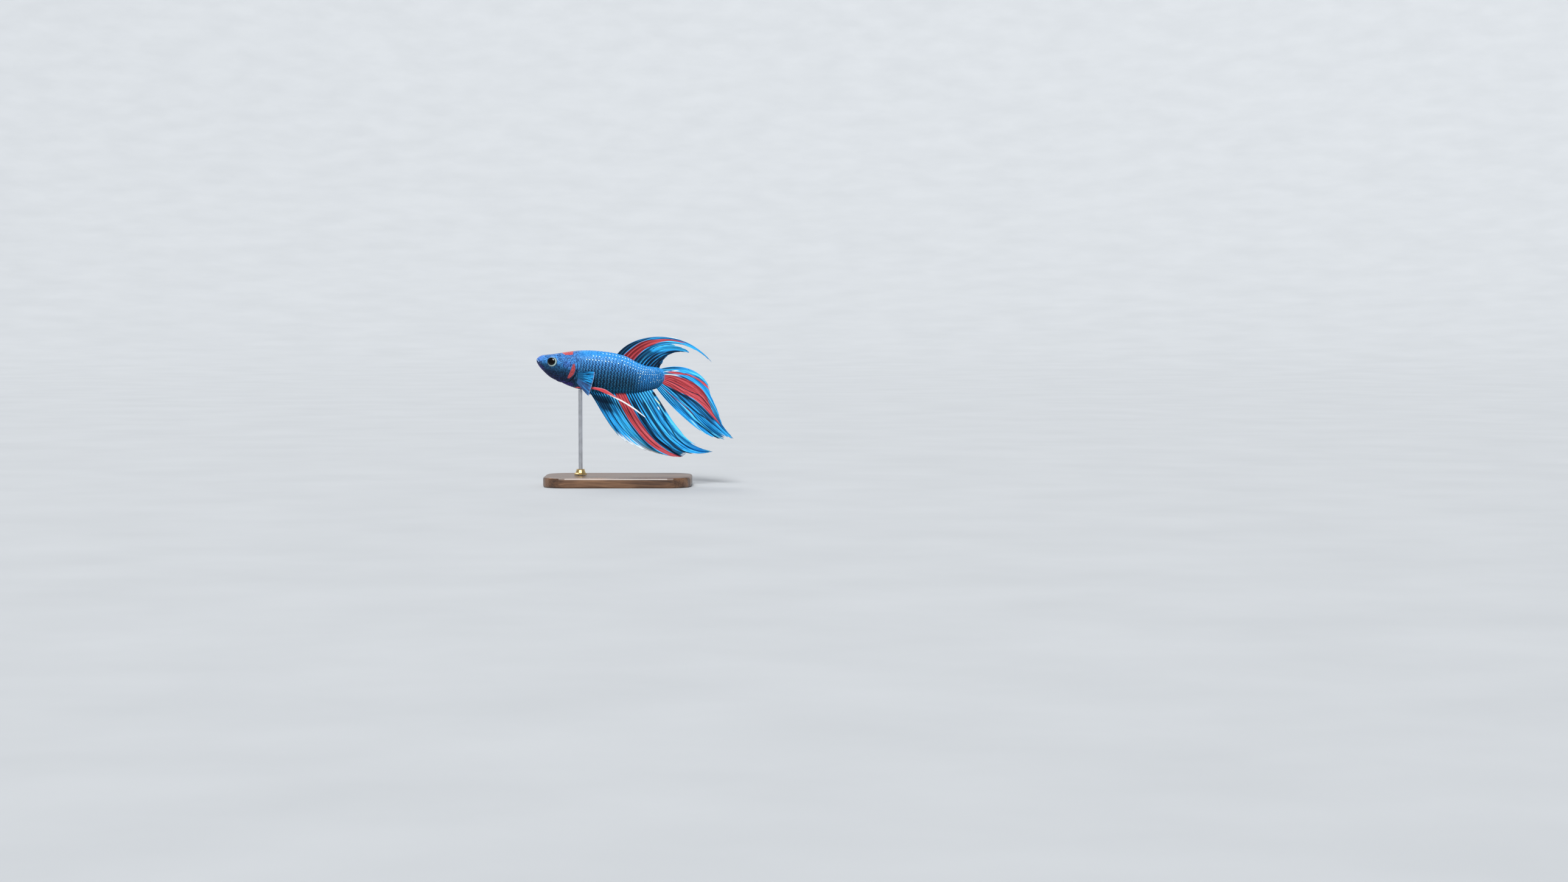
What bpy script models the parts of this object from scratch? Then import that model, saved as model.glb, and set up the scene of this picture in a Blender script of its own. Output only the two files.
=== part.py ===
"""A male betta (Betta splendens) with veiltail fins, life size, on a small display stand.

The fish is designed in its own frame: x runs back from the tip of the snout along the body,
z is up, and the left flank faces -Y. All of it hangs on one empty, which tips it nose up and
lifts it onto the stand's rod. Design lengths are in millimetres; meshes are made in metres.
"""

import math

import bmesh
import bpy
import numpy as np
from mathutils import Matrix, Vector

MM = 0.001

# Driving dimensions, in millimetres and degrees.
BODY_LENGTH = 50.2  # snout to the end of the tail stalk
NOSE_UP = 7.5  # tilt of the body in the water
GAP = 0.3  # thin cut between neighbouring pieces
FAR = 12.0  # further out than any part of the body, for the regions that part it
STAND_CLEARANCE = 7.0  # from the stand's base up to the lowest fin tip

# Outlines of the body as (distance from the snout, value) knots.
TOP_LINE = (
    (0, -0.1), (0.5, 0.8), (1.1, 1.4), (1.9, 1.95), (3.3, 2.4), (6.6, 3.2), (9.2, 3.95), (13, 5.0),
    (19, 6.2), (25, 6.6), (31, 6.45), (35, 5.85), (39, 4.3), (42, 3.4), (46, 3.2), (BODY_LENGTH, 3.15),
)
BOTTOM_LINE = (
    (0, -0.1), (0.5, -1.4), (1.5, -2.7), (3, -4.1), (6, -6.2), (10, -7.7), (15, -8.95),
    (20, -9.6), (25, -9.75), (32, -9.25), (38, -8.4), (42, -7.5), (46, -6.2), (BODY_LENGTH, -4.6),
)
HALF_WIDTH = (
    (0, 0.0), (0.5, 1.2), (1.3, 1.75), (3, 2.35), (6.3, 3.0), (10, 3.65), (15, 4.3), (19, 4.45),
    (25, 4.3), (32, 3.65), (38, 2.85), (44, 1.95), (48, 1.35), (BODY_LENGTH, 0.75),
)
WIDEST_AT = ((0, 0.5), (6, 0.58), (15, 0.5), (30, 0.5), (BODY_LENGTH, 0.5))  # share of the depth
UPPER_ROUNDING = 2.15  # superellipse exponents of a cross-section's two halves
LOWER_ROUNDING = 1.9
BODY_RINGS = 30
RING_POINTS = 26
NOSE_RING_CROWDING = 1.6  # above 1, the rings lie closer together towards the snout
THINNEST = 0.1  # the least size of a shrunken body's cross-section

# The head's parts.
NAPE = (13.0, 5.0)  # where the gill line turns up to the back
GILL_CENTRE = (10.8, -2.2)  # the gill opening is an arc about this point
GILL_RADIUS = 5.4
GILL_COVER_FRONT = (7.3, -2.0)  # centre of the arc of the cover's front edge
GILL_COVER_FRONT_RADIUS = 3.7
GILL_COVER_DEPTH = 1.0
GILL_COVER_PROUD = 0.2
MOUTH_LINE = ((-2.0, -0.1), (0.0, -0.25), (1.2, -1.1), (2.5, -2.1))  # out of the snout to its corner
JAW_HINGE = (5.4, -6.2)
EYE_AT = (6.4, 0.0)
EYE_RADIUS = 1.92
EYE_HALF_DEPTH = 1.3
EYE_OFFSET = 2.05  # of the eyeball's centre from the fish's midplane
STALK_CUT = ((41.5, FAR), (39.5, -FAR))  # where the trunk ends and the tail stalk begins

# Fins. Each column of a table is one guide ray: where its root is along the fin's base, its
# length, and its slope at root, middle and tip, in degrees up from straight back.
DORSAL = {
    "base": (31.3, 33.6, 36.6, 39.7, 42.2, 45.1, 47.2, 48.4),
    "length": (25.2, 39.0, 30.0, 22.0, 20.7, 13.0, 5.5, 2.0),
    "root": (58, 58, 58, 64, 63, 60, 66, 75),
    "middle": (19, 2, 11, 22, 20, 34, 55, 66),
    "tip": (0, -41, -31, -10, -19, 8, 26, 45),
}
CAUDAL = {
    "base": (3.0, 2.3, 2.0, 1.7, 1.4, 0.5, -0.9, -2.3, -3.5, -4.5, -5.5),
    "length": (22.6, 20.8, 25.5, 36.5, 36.9, 36.6, 37.7, 35.1, 34.0, 30.0, 29.0),
    "root": (22, 8, 14, 22, 20, 14, -2, -18, -31, -41, -45),
    "middle": (-14, -9, -24, -43, -43, -43, -41, -38, -38, -37, -34),
    "tip": (-65, -55, -66, -62, -59, -48, -30, -25, -14, -22, -24),
}
ANAL = {
    "base": (22.0, 23.5, 26.9, 30.3, 33.8, 37.4, 41.0, 44.2, 46.8),
    "length": (23.1, 27.9, 32.0, 33.1, 36.4, 34.8, 39.5, 36.9, 27.7),
    "root": (-48, -52, -56, -57, -58, -57, -53, -49, -47),
    "middle": (-51, -50, -45, -44, -42, -42, -38, -41, -48),
    "tip": (-38, -22, -15, -14, -4, -3, 14, 9, -22),
}
PECTORAL = {
    "base": (-2.9, -3.9, -5.0, -6.0, -6.9),
    "length": (6.9, 6.5, 6.2, 6.5, 7.2),
    "root": (22, 6, -14, -30, -44),
    "middle": (10, 0, -16, -30, -40),
    "tip": (2, -4, -16, -28, -34),
}
DORSAL_RAYS, CAUDAL_RAYS, ANAL_RAYS, PECTORAL_RAYS = 10, 14, 21, 8
FIN_ROWS, PECTORAL_ROWS = 10, 5
RAY_STEPS = 48  # fine steps in which a ray's slope is summed
ROOT_DEPTH = 1.4  # how far a fin runs into the body before it is cut off there
RAY_HALF_THICKNESS = (0.42, 0.28)  # at root and tip
WEB_HALF_THICKNESS = 0.25
WEB_NOTCH = 0.1  # how much shorter the web between two rays is, as a share
# A fin's folds: how far they swing at its edge, how many, where they start, and its sway.
DORSAL_FOLDS = (1.3, 1.6, 0.1, 0.8)
CAUDAL_FOLDS = (1.9, 2.4, 0.3, -1.6)
ANAL_FOLDS = (1.7, 3.3, 0.55, 0.9)
FOLD_GROWTH = 1.4
STALK_END_BULGE = 0.06  # per mm, of the rounded line of the tail fin's roots
STALK_END_MIDDLE = -0.4
PECTORAL_BASE = (17.1, 0.4)  # x of the base, and how far it bows back at the middle
PECTORAL_FLARE = 22.0
PECTORAL_ROOT_DEPTH = 1.2

# The pelvic fins: their line as (x, z) knots, then width and distance from the midplane along x.
PELVIC_LINE = (
    (16.2, -8.9), (19, -8.6), (22.5, -8.2), (25, -8.15), (27.3, -8.45), (29.8, -9.25), (32.4, -10.4),
    (37.5, -12.5), (41.4, -14.4), (45.6, -16.8),
)
PELVIC_WIDTH = ((16.2, 1.0), (20, 0.9), (25, 1.0), (28.5, 1.5), (31, 1.1), (34, 0.8), (45.6, 0.55))
PELVIC_APART = ((16.2, 1.3), (19, 3.0), (24, 4.3), (29, 4.2), (36, 3.9), (45.6, 4.8))
PELVIC_HALF_THICKNESS = (0.25, 0.35, 0.25)  # at the lower edge, the middle and the upper edge
PELVIC_SEGMENTS = 18

# The display stand.
BASE_SIZE = (58.0, 34.0, 4.0)
BASE_CORNER = 9.0
BASE_EDGE = 0.7
BASE_SHIFT = -7.0  # towards the head, under the fish's weight
ROD_AT = 18.6  # distance of the rod from the snout, along the body
ROD_RADIUS = 0.8
ROD_SOCKET_DEPTH = 2.6
ROD_REACH = 2.0  # how far the rod runs up into the belly before it is cut off there
COLLAR_RADIUS = 2.5
COLLAR_HEIGHT = 2.2
COLLAR_FOOT = 0.5
COLLAR_NECK = 0.5  # wall of its upper end

MATERIALS = {  # base colour, roughness, metallic
    "scales_blue": ((0.03, 0.2, 0.62), 0.35, 0.3),
    "head_blue": ((0.03, 0.12, 0.42), 0.35, 0.3),
    "gill_red": ((0.45, 0.06, 0.06), 0.4, 0.1),
    "fin_blue": ((0.02, 0.3, 0.72), 0.45, 0.1),
    "fin_red": ((0.62, 0.06, 0.07), 0.45, 0.0),
    "eye_black": ((0.004, 0.004, 0.005), 0.08, 0.0),
    "walnut": ((0.11, 0.05, 0.025), 0.4, 0.0),
    "steel": ((0.62, 0.62, 0.64), 0.28, 1.0),
    "brass": ((0.72, 0.5, 0.2), 0.3, 1.0),
}


def curve_through(knots, power=1.0):
    """A smooth function through (x, value) knots. Power 0.5 lets it start as a round nose does."""
    xs = np.array([x for x, _ in knots], float) ** power
    values = np.array([value for _, value in knots], float)
    spans = np.diff(xs)
    slopes = np.diff(values) / spans
    inner = (slopes[:-1] * spans[1:] + slopes[1:] * spans[:-1]) / (spans[:-1] + spans[1:])
    tangents = np.concatenate([slopes[:1], inner, slopes[-1:]])

    def value_at(x):
        x = np.asarray(x, float) ** power
        i = np.clip(np.searchsorted(xs, x) - 1, 0, len(spans) - 1)
        t = np.clip((x - xs[i]) / spans[i], 0, 1)
        return (
            (2 * t**3 - 3 * t**2 + 1) * values[i]
            + (t**3 - 2 * t**2 + t) * spans[i] * tangents[i]
            + (3 * t**2 - 2 * t**3) * values[i + 1]
            + (t**3 - t**2) * spans[i] * tangents[i + 1]
        )

    return value_at


top_line = curve_through(TOP_LINE, 0.5)
bottom_line = curve_through(BOTTOM_LINE, 0.5)
half_width = curve_through(HALF_WIDTH, 0.5)
widest_at = curve_through(WIDEST_AT)


def material(name):
    """The named material, made the first time it is asked for."""
    found = bpy.data.materials.get(name)
    if found:
        return found
    colour, roughness, metallic = MATERIALS[name]
    made = bpy.data.materials.new(name)
    made.use_nodes = True
    shader = made.node_tree.nodes["Principled BSDF"]
    shader.inputs["Base Color"].default_value = (*colour, 1)
    shader.inputs["Roughness"].default_value = roughness
    shader.inputs["Metallic"].default_value = metallic
    made.diffuse_color = (*colour, 1)
    return made


def object_from(work, name, material_name=None, parent=None):
    """An object from a bmesh in millimetres, which is used up. With no material it is a cutter."""
    bmesh.ops.scale(work, vec=(MM, MM, MM), verts=work.verts)
    bmesh.ops.recalc_face_normals(work, faces=work.faces)
    mesh = bpy.data.meshes.new(name)
    work.to_mesh(mesh)
    work.free()
    made = bpy.data.objects.new(name, mesh)
    bpy.context.scene.collection.objects.link(made)
    made.parent = parent
    if material_name:
        mesh.materials.append(material(material_name))
        mesh.shade_smooth()
        mesh.set_sharp_from_angle(angle=math.radians(40))
    else:
        made.hide_render = True
        made.display_type = "WIRE"
    return made


def mesh_of(points, faces):
    work = bmesh.new()
    verts = [work.verts.new(point) for point in points]
    for face in faces:
        work.faces.new([verts[i] for i in face])
    return work


def extrusion(outline, offset):
    """A flat outline of (x, y, z) points, drawn out by an offset into a closed prism."""
    work = bmesh.new()
    face = work.faces.new([work.verts.new(point) for point in outline])
    drawn = bmesh.ops.extrude_face_region(work, geom=[face])["geom"]
    moved = [part for part in drawn if isinstance(part, bmesh.types.BMVert)]
    bmesh.ops.translate(work, vec=offset, verts=moved)
    return work


def region(name, outline, fish, across=(-FAR, FAR)):
    """A cutter that takes in all that lies within an (x, z) outline, between two y values."""
    flat = [(x, across[0], z) for x, z in outline]
    return object_from(extrusion(flat, (0, across[1] - across[0], 0)), name, parent=fish)


def combine(target, other, operation):
    """Adds a Boolean modifier to the target."""
    modifier = target.modifiers.new(operation.title() + " " + other.name, "BOOLEAN")
    modifier.operation = operation
    modifier.object = other


def arc(centre, radius, start, end, count):
    """Points on a circular arc in a plane, angles in degrees."""
    angles = np.radians(np.linspace(start, end, count))
    return [(centre[0] + radius * math.cos(a), centre[1] + radius * math.sin(a)) for a in angles]


def widened(outline, by):
    """A closed outline moved outwards by that much."""
    points = np.array(outline)
    behind, ahead = points - np.roll(points, 1, 0), np.roll(points, -1, 0) - points
    doubled_area = np.sum(points[:, 0] * np.roll(points[:, 1], -1) - np.roll(points[:, 0], -1) * points[:, 1])
    normals = np.zeros_like(points)
    for edge in (behind, ahead):
        length = np.linalg.norm(edge, axis=1, keepdims=True)
        normals += np.sign(doubled_area) * np.stack([edge[:, 1], -edge[:, 0]], 1) / length
    spread = np.sum(normals * normals, axis=1, keepdims=True)
    return [tuple(point) for point in points + by * normals * 2 / np.maximum(spread, 0.5)]


def section(x, grow):
    """One cross-section of the body, as a ring of points, swollen or shrunk by grow."""
    top, bottom = float(top_line(x)) + grow, float(bottom_line(x)) - grow
    if top - bottom < THINNEST:
        centre = (top + bottom) / 2
        top, bottom = centre + THINNEST / 2, centre - THINNEST / 2
    wide = max(float(half_width(x)) + grow, THINNEST)
    middle = bottom + (top - bottom) * float(widest_at(x))
    points = []
    for angle in np.linspace(0, 2 * math.pi, RING_POINTS, endpoint=False):
        side, height = math.cos(angle), math.sin(angle)
        power = 2 / (UPPER_ROUNDING if height > 0 else LOWER_ROUNDING)
        reach = (top if height > 0 else bottom) - middle
        y = wide * math.copysign(abs(side) ** power, side)
        points.append((x + grow * x / BODY_LENGTH, y, middle + reach * abs(height) ** power))
    return points


def body(name, fish, grow=0.0, material_name=None):
    """The whole body, snout to tail stalk, swollen or shrunk by grow."""
    points = [(-grow, 0.0, float(top_line(0)))]
    faces = []
    for ring in range(1, BODY_RINGS + 1):
        points += section(BODY_LENGTH * (ring / BODY_RINGS) ** NOSE_RING_CROWDING, grow)
    for k in range(RING_POINTS):
        after = (k + 1) % RING_POINTS
        faces.append((0, 1 + k, 1 + after))
        for ring in range(BODY_RINGS - 1):
            near, far = 1 + ring * RING_POINTS, 1 + (ring + 1) * RING_POINTS
            faces.append((near + k, far + k, far + after, near + after))
    faces.append(tuple(range(len(points) - RING_POINTS, len(points))))
    return object_from(mesh_of(points, faces), name, material_name, fish)


def gill_line(gap):
    """The edge of the head, from above the nape down the gill opening to below the throat."""
    opening = arc(GILL_CENTRE, GILL_RADIUS + gap, 50, -100, 15)
    nape_x, nape_z = NAPE
    return [(nape_x + gap, FAR), (nape_x + gap, nape_z), *opening, (opening[-1][0], -FAR)]


def gill_cover_outline():
    """The crescent of a gill cover, between the gill opening and its own front edge."""
    behind = arc(GILL_CENTRE, GILL_RADIUS, 44, -82, 12)
    return behind + arc(GILL_COVER_FRONT, GILL_COVER_FRONT_RADIUS, -62, 40, 8)


def jaw_outline():
    """The lower jaw: below the mouth's line, and ahead of a line down from its corner."""
    low = -FAR
    return [*MOUTH_LINE, JAW_HINGE, (JAW_HINGE[0] + 0.9, low), (MOUTH_LINE[0][0], low)]


def eye(name, side, fish, grow=0.0, material_name=None):
    """An eyeball, flattened across the fish."""
    work = bmesh.new()
    bmesh.ops.create_uvsphere(work, u_segments=16, v_segments=9, radius=1.0)
    radius, depth = EYE_RADIUS + grow, EYE_HALF_DEPTH + grow
    turn = Matrix.Rotation(math.radians(90), 4, "X")
    bmesh.ops.transform(work, matrix=Matrix.Diagonal((radius, depth, radius, 1)) @ turn, verts=work.verts)
    bmesh.ops.translate(work, vec=(EYE_AT[0], side * EYE_OFFSET, EYE_AT[1]), verts=work.verts)
    return object_from(work, name, material_name, fish)


def make_head(fish):
    """Head and lower jaw, with room for the eyes and the gill covers."""
    head = body("head", fish, 0.0, "head_blue")
    ahead = [*gill_line(0), (-4.0, -FAR), (-4.0, FAR)]
    combine(head, region("head_region", ahead, fish), "INTERSECT")
    jaw = body("lower_jaw", fish, 0.0, "head_blue")
    combine(jaw, region("jaw_region", jaw_outline(), fish), "INTERSECT")
    combine(head, region("jaw_room", widened(jaw_outline(), GAP), fish), "DIFFERENCE")

    under_cover = body("under_cover", fish, -GILL_COVER_DEPTH)
    cover_floor = body("cover_floor", fish, -GILL_COVER_DEPTH - GAP)
    outline = gill_cover_outline()
    for name, side in (("left", -1), ("right", 1)):
        flank = sorted((0.4 * side, FAR * side))
        cover = body("gill_cover_" + name, fish, GILL_COVER_PROUD, "gill_red")
        combine(cover, region("cover_region_" + name, outline, fish, flank), "INTERSECT")
        combine(cover, under_cover, "DIFFERENCE")
        room = region("cover_room_" + name, widened(outline, GAP), fish, flank)
        combine(room, cover_floor, "DIFFERENCE")
        combine(head, room, "DIFFERENCE")
        eye("eye_" + name, side, fish, 0.0, "eye_black")
        combine(head, eye("socket_" + name, side, fish, GAP), "DIFFERENCE")


def make_trunk(fish):
    """Trunk and tail stalk, parted by a thin cut."""
    cut_top, cut_low = STALK_CUT
    trunk = body("trunk", fish, 0.0, "scales_blue")
    behind_head = [*gill_line(GAP), cut_low, cut_top]
    combine(trunk, region("trunk_region", behind_head, fish), "INTERSECT")
    stalk = body("tail_stalk", fish, 0.0, "scales_blue")
    end = BODY_LENGTH + FAR
    behind_trunk = [(cut_top[0] + GAP, FAR), (end, FAR), (end, -FAR), (cut_low[0] + GAP, -FAR)]
    combine(stalk, region("stalk_region", behind_trunk, fish), "INTERSECT")


def ray_paths(table, shares):
    """Rays at these shares of the way along a fin's base.

    Returns their base values, their lengths, and [ray, step, (x, z)] offsets from their roots.
    """
    base = np.array(table["base"], float)
    along = (base - base[0]) / (base[-1] - base[0])
    read = {key: curve_through(list(zip(along, table[key])))(shares) for key in table}
    t = (np.arange(RAY_STEPS) + 0.5) / RAY_STEPS
    root, middle, tip = (read[key][:, None] for key in ("root", "middle", "tip"))
    slope = np.radians(root * (1 - t) * (1 - 2 * t) + 4 * middle * t * (1 - t) + tip * t * (2 * t - 1))
    step = read["length"][:, None, None] / RAY_STEPS * np.stack([np.cos(slope), np.sin(slope)], -1)
    paths = np.concatenate([np.zeros((len(shares), 1, 2)), np.cumsum(step, axis=1)], axis=1)
    return read["base"], read["length"], paths


def fin_grid(table, rays, row_count, base_point, sideways):
    """A fin's middle surface as [column, row, xyz], and its half thickness at each point.

    Every other column is a ray. Those between are the web, thinner and a little shorter.
    """
    columns = 2 * rays - 1
    shares = np.linspace(0, 1, columns)
    base, length, paths = ray_paths(table, shares)
    steps = np.linspace(0, 1, RAY_STEPS + 1)
    grid = np.zeros((columns, row_count + 1, 3))
    half = np.full((columns, row_count + 1), WEB_HALF_THICKNESS)
    at_root, at_tip = RAY_HALF_THICKNESS
    for c in range(columns):
        is_ray = c % 2 == 0
        rows = np.linspace(0, 1 if is_ray else 1 - WEB_NOTCH, row_count)
        inward = -paths[c, 1] / np.linalg.norm(paths[c, 1]) * ROOT_DEPTH
        xs = np.append(inward[0], np.interp(rows, steps, paths[c, :, 0]))
        zs = np.append(inward[1], np.interp(rows, steps, paths[c, :, 1]))
        rows = np.append(-ROOT_DEPTH / length[c], rows)
        x0, z0 = base_point(base[c])
        grid[c] = np.stack([x0 + xs, sideways(shares[c], rows, base[c], length[c]), z0 + zs], -1)
        if is_ray:
            half[c] = at_root + (at_tip - at_root) * np.clip(rows, 0, 1)
    return grid, half


def slab(grid, half):
    """A closed bmesh: a surface grid given its thickness on both sides."""
    columns, rows = grid.shape[:2]
    across = np.cross(np.gradient(grid, axis=0), np.gradient(grid, axis=1))
    across *= half[..., None] / np.linalg.norm(across, axis=2, keepdims=True)
    points = np.concatenate([(grid + across).reshape(-1, 3), (grid - across).reshape(-1, 3)])

    def at(c, r, side=0):
        return (side * columns + c) * rows + r

    faces = []
    for c in range(columns - 1):
        for r in range(rows - 1):
            faces.append((at(c, r), at(c + 1, r), at(c + 1, r + 1), at(c, r + 1)))
            faces.append((at(c, r, 1), at(c, r + 1, 1), at(c + 1, r + 1, 1), at(c + 1, r, 1)))
        for r in (0, rows - 1):
            faces.append((at(c, r), at(c, r, 1), at(c + 1, r, 1), at(c + 1, r)))
    for r in range(rows - 1):
        for c in (0, columns - 1):
            faces.append((at(c, r), at(c, r + 1), at(c, r + 1, 1), at(c, r, 1)))
    return mesh_of(points, faces)


def folded(amount, count, start, sway):
    """A fin's soft folds, which grow towards its edge, and its sway to one side."""

    def sideways(share, rows, _base, _length):
        t = np.clip(rows, 0, 1)
        return amount * math.sin(2 * math.pi * (count * share + start)) * t**FOLD_GROWTH + sway * t**2

    return sideways


def on_back(x):
    return x, float(top_line(x))


def on_belly(x):
    return x, float(bottom_line(x))


def on_stalk_end(z):
    return BODY_LENGTH - STALK_END_BULGE * (z - STALK_END_MIDDLE) ** 2, z


def on_flank(z):
    x, bow = PECTORAL_BASE
    top, low = PECTORAL["base"][0], PECTORAL["base"][-1]
    return x + bow * math.sin(math.pi * (z - low) / (top - low)), z


def flank_width(x, z):
    """Half the body's width at that height."""
    top, bottom = float(top_line(x)), float(bottom_line(x))
    middle = bottom + (top - bottom) * float(widest_at(x))
    reach, power = (top - middle, UPPER_ROUNDING) if z > middle else (middle - bottom, LOWER_ROUNDING)
    return float(half_width(x)) * max(0.0, 1 - (abs(z - middle) / reach) ** power) ** (1 / power)


def flared(side):
    """A pectoral fin's path off the flank, with its root sunk into it."""

    def sideways(_share, rows, base, length):
        flare = rows * length * math.sin(math.radians(PECTORAL_FLARE))
        sunk = np.where(rows < 0, PECTORAL_ROOT_DEPTH, 0.0)
        return side * (flank_width(PECTORAL_BASE[0], base) + flare - sunk)

    return sideways


def make_rayed_fins(fish, skin):
    """The folded unpaired fins and the fan-shaped pectoral fins, each cut off at the skin."""
    fins = (
        ("dorsal_fin", DORSAL, DORSAL_RAYS, FIN_ROWS, on_back, folded(*DORSAL_FOLDS)),
        ("caudal_fin", CAUDAL, CAUDAL_RAYS, FIN_ROWS, on_stalk_end, folded(*CAUDAL_FOLDS)),
        ("anal_fin", ANAL, ANAL_RAYS, FIN_ROWS, on_belly, folded(*ANAL_FOLDS)),
        ("pectoral_fin_left", PECTORAL, PECTORAL_RAYS, PECTORAL_ROWS, on_flank, flared(-1)),
        ("pectoral_fin_right", PECTORAL, PECTORAL_RAYS, PECTORAL_ROWS, on_flank, flared(1)),
    )
    for name, table, rays, row_count, base_point, sideways in fins:
        grid, half = fin_grid(table, rays, row_count, base_point, sideways)
        combine(object_from(slab(grid, half), name, "fin_blue", fish), skin, "DIFFERENCE")


def make_pelvic_fins(fish, skin):
    """The long, narrow pelvic fins, which trail below the belly."""
    xs = np.linspace(PELVIC_LINE[0][0], PELVIC_LINE[-1][0], PELVIC_SEGMENTS)
    zs = curve_through(PELVIC_LINE)(xs)
    slopes = np.arctan2(np.gradient(zs), np.gradient(xs))
    reach = curve_through(PELVIC_WIDTH)(xs) / 2
    apart = curve_through(PELVIC_APART)(xs)
    half = np.repeat(np.array(PELVIC_HALF_THICKNESS)[:, None], PELVIC_SEGMENTS, axis=1)
    back, up = -reach * np.sin(slopes), reach * np.cos(slopes)
    for name, side in (("left", -1), ("right", 1)):
        edges = [np.stack([xs + edge * back, side * apart, zs + edge * up], -1) for edge in (-1, 0, 1)]
        fin = object_from(slab(np.array(edges), half), "pelvic_fin_" + name, "fin_red", fish)
        combine(fin, skin, "DIFFERENCE")


def cylinder(name, radius, bottom, top, at_x, material_name=None):
    work = bmesh.new()
    place = Matrix.Translation((at_x, 0, (bottom + top) / 2))
    bmesh.ops.create_cone(
        work, cap_ends=True, segments=24, radius1=radius, radius2=radius, depth=top - bottom, matrix=place
    )
    return object_from(work, name, material_name)


def make_base(rod_x):
    """The walnut plate, with eased edges and a blind hole for the rod."""
    size_x, size_y, height = BASE_SIZE
    outline = []
    for k, (sx, sy) in enumerate(((1, 1), (-1, 1), (-1, -1), (1, -1))):
        centre = (BASE_SHIFT + sx * (size_x / 2 - BASE_CORNER), sy * (size_y / 2 - BASE_CORNER))
        outline += [(x, y, 0.0) for x, y in arc(centre, BASE_CORNER, 90 * k, 90 * k + 90, 7)]
    base = object_from(extrusion(outline, (0, 0, height)), "stand_base", "walnut")
    bevel = base.modifiers.new("Eased edge", "BEVEL")
    bevel.width = BASE_EDGE * MM
    bevel.segments = 2
    bevel.limit_method = "ANGLE"
    bevel.angle_limit = math.radians(50)
    socket = cylinder("rod_socket", ROD_RADIUS + GAP, height - ROD_SOCKET_DEPTH, height + 1, rod_x)
    combine(base, socket, "DIFFERENCE")


def make_collar(rod_x):
    """The turned brass collar round the rod's foot."""
    inner, outer = ROD_RADIUS + GAP, COLLAR_RADIUS
    low = BASE_SIZE[2] + GAP
    shoulder, high = low + COLLAR_FOOT, low + COLLAR_HEIGHT
    profile = (
        (inner, low), (outer, low), (outer, shoulder), (outer - COLLAR_FOOT, shoulder + 0.3),
        (inner + COLLAR_NECK, high - 0.3), (inner + COLLAR_NECK, high), (inner, high),
    )
    work = bmesh.new()
    ring = [work.verts.new((r, 0, z)) for r, z in profile]
    edges = [work.edges.new((ring[k - 1], ring[k])) for k in range(len(ring))]
    bmesh.ops.spin(
        work, geom=ring + edges, cent=(0, 0, 0), axis=(0, 0, 1), angle=2 * math.pi, steps=24, use_merge=True
    )
    bmesh.ops.translate(work, vec=(rod_x, 0, 0), verts=work.verts)
    object_from(work, "stand_collar", "brass")


def make_rod(rod_x, belly_z, skin):
    """The steel rod that carries the fish, shaped at its top to the belly."""
    bottom = BASE_SIZE[2] - ROD_SOCKET_DEPTH + GAP
    rod = cylinder("stand_rod", ROD_RADIUS, bottom, belly_z + ROD_REACH, rod_x, "steel")
    combine(rod, skin, "DIFFERENCE")


def extent(objects):
    """Lowest and highest corner of these objects as built, in millimetres."""
    bpy.context.view_layer.update()
    graph = bpy.context.evaluated_depsgraph_get()
    found = []
    for one in objects:
        seen = one.evaluated_get(graph)
        mesh = seen.to_mesh()
        found += [seen.matrix_world @ vertex.co for vertex in mesh.vertices]
        seen.to_mesh_clear()
    corners = np.array(found) / MM
    return corners.min(0), corners.max(0)


def main():
    for old in list(bpy.data.objects):
        bpy.data.objects.remove(old)
    fish = bpy.data.objects.new("fish_pose", None)
    bpy.context.scene.collection.objects.link(fish)
    fish.rotation_euler.y = math.radians(NOSE_UP)

    skin = body("skin_clearance", fish, GAP)
    make_head(fish)
    make_trunk(fish)
    make_rayed_fins(fish, skin)
    make_pelvic_fins(fish, skin)

    low, high = extent([piece for piece in fish.children if not piece.hide_render])
    fish.location.x = -(low[0] + high[0]) / 2 * MM
    fish.location.z = (BASE_SIZE[2] + STAND_CLEARANCE - low[2]) * MM
    bpy.context.view_layer.update()

    belly = fish.matrix_world @ (Vector((ROD_AT, 0, float(bottom_line(ROD_AT)))) * MM) / MM
    make_base(belly.x)
    make_collar(belly.x)
    make_rod(belly.x, belly.z, skin)


main()
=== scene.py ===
"""The looks of the betta model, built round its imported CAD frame.

One skin carries the whole body, with its mouth, nostrils, eye sockets and gill covers, and solid
scales lie over it. The fins are thin rayed sheets. Lengths of the fish are in millimetres in its
design frame: x back from the snout along the body, y across it, z up, the left flank at -y.
"""

import math

import bpy
import numpy as np
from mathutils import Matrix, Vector


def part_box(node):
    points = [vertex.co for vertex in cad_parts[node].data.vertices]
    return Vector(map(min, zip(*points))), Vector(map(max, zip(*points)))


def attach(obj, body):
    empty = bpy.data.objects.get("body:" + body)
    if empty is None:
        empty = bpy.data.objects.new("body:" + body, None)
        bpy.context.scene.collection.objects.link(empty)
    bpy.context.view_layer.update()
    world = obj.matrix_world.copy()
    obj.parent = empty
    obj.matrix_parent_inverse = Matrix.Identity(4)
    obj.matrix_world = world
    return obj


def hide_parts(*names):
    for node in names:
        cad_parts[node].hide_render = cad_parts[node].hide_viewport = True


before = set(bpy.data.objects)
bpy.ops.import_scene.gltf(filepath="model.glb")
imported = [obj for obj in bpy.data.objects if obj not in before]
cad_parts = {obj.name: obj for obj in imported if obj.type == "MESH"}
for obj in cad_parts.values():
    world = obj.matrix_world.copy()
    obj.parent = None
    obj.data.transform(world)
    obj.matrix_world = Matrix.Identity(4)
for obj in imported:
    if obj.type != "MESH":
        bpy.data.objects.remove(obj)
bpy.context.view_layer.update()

MM = 0.001
SEED = 7

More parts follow.
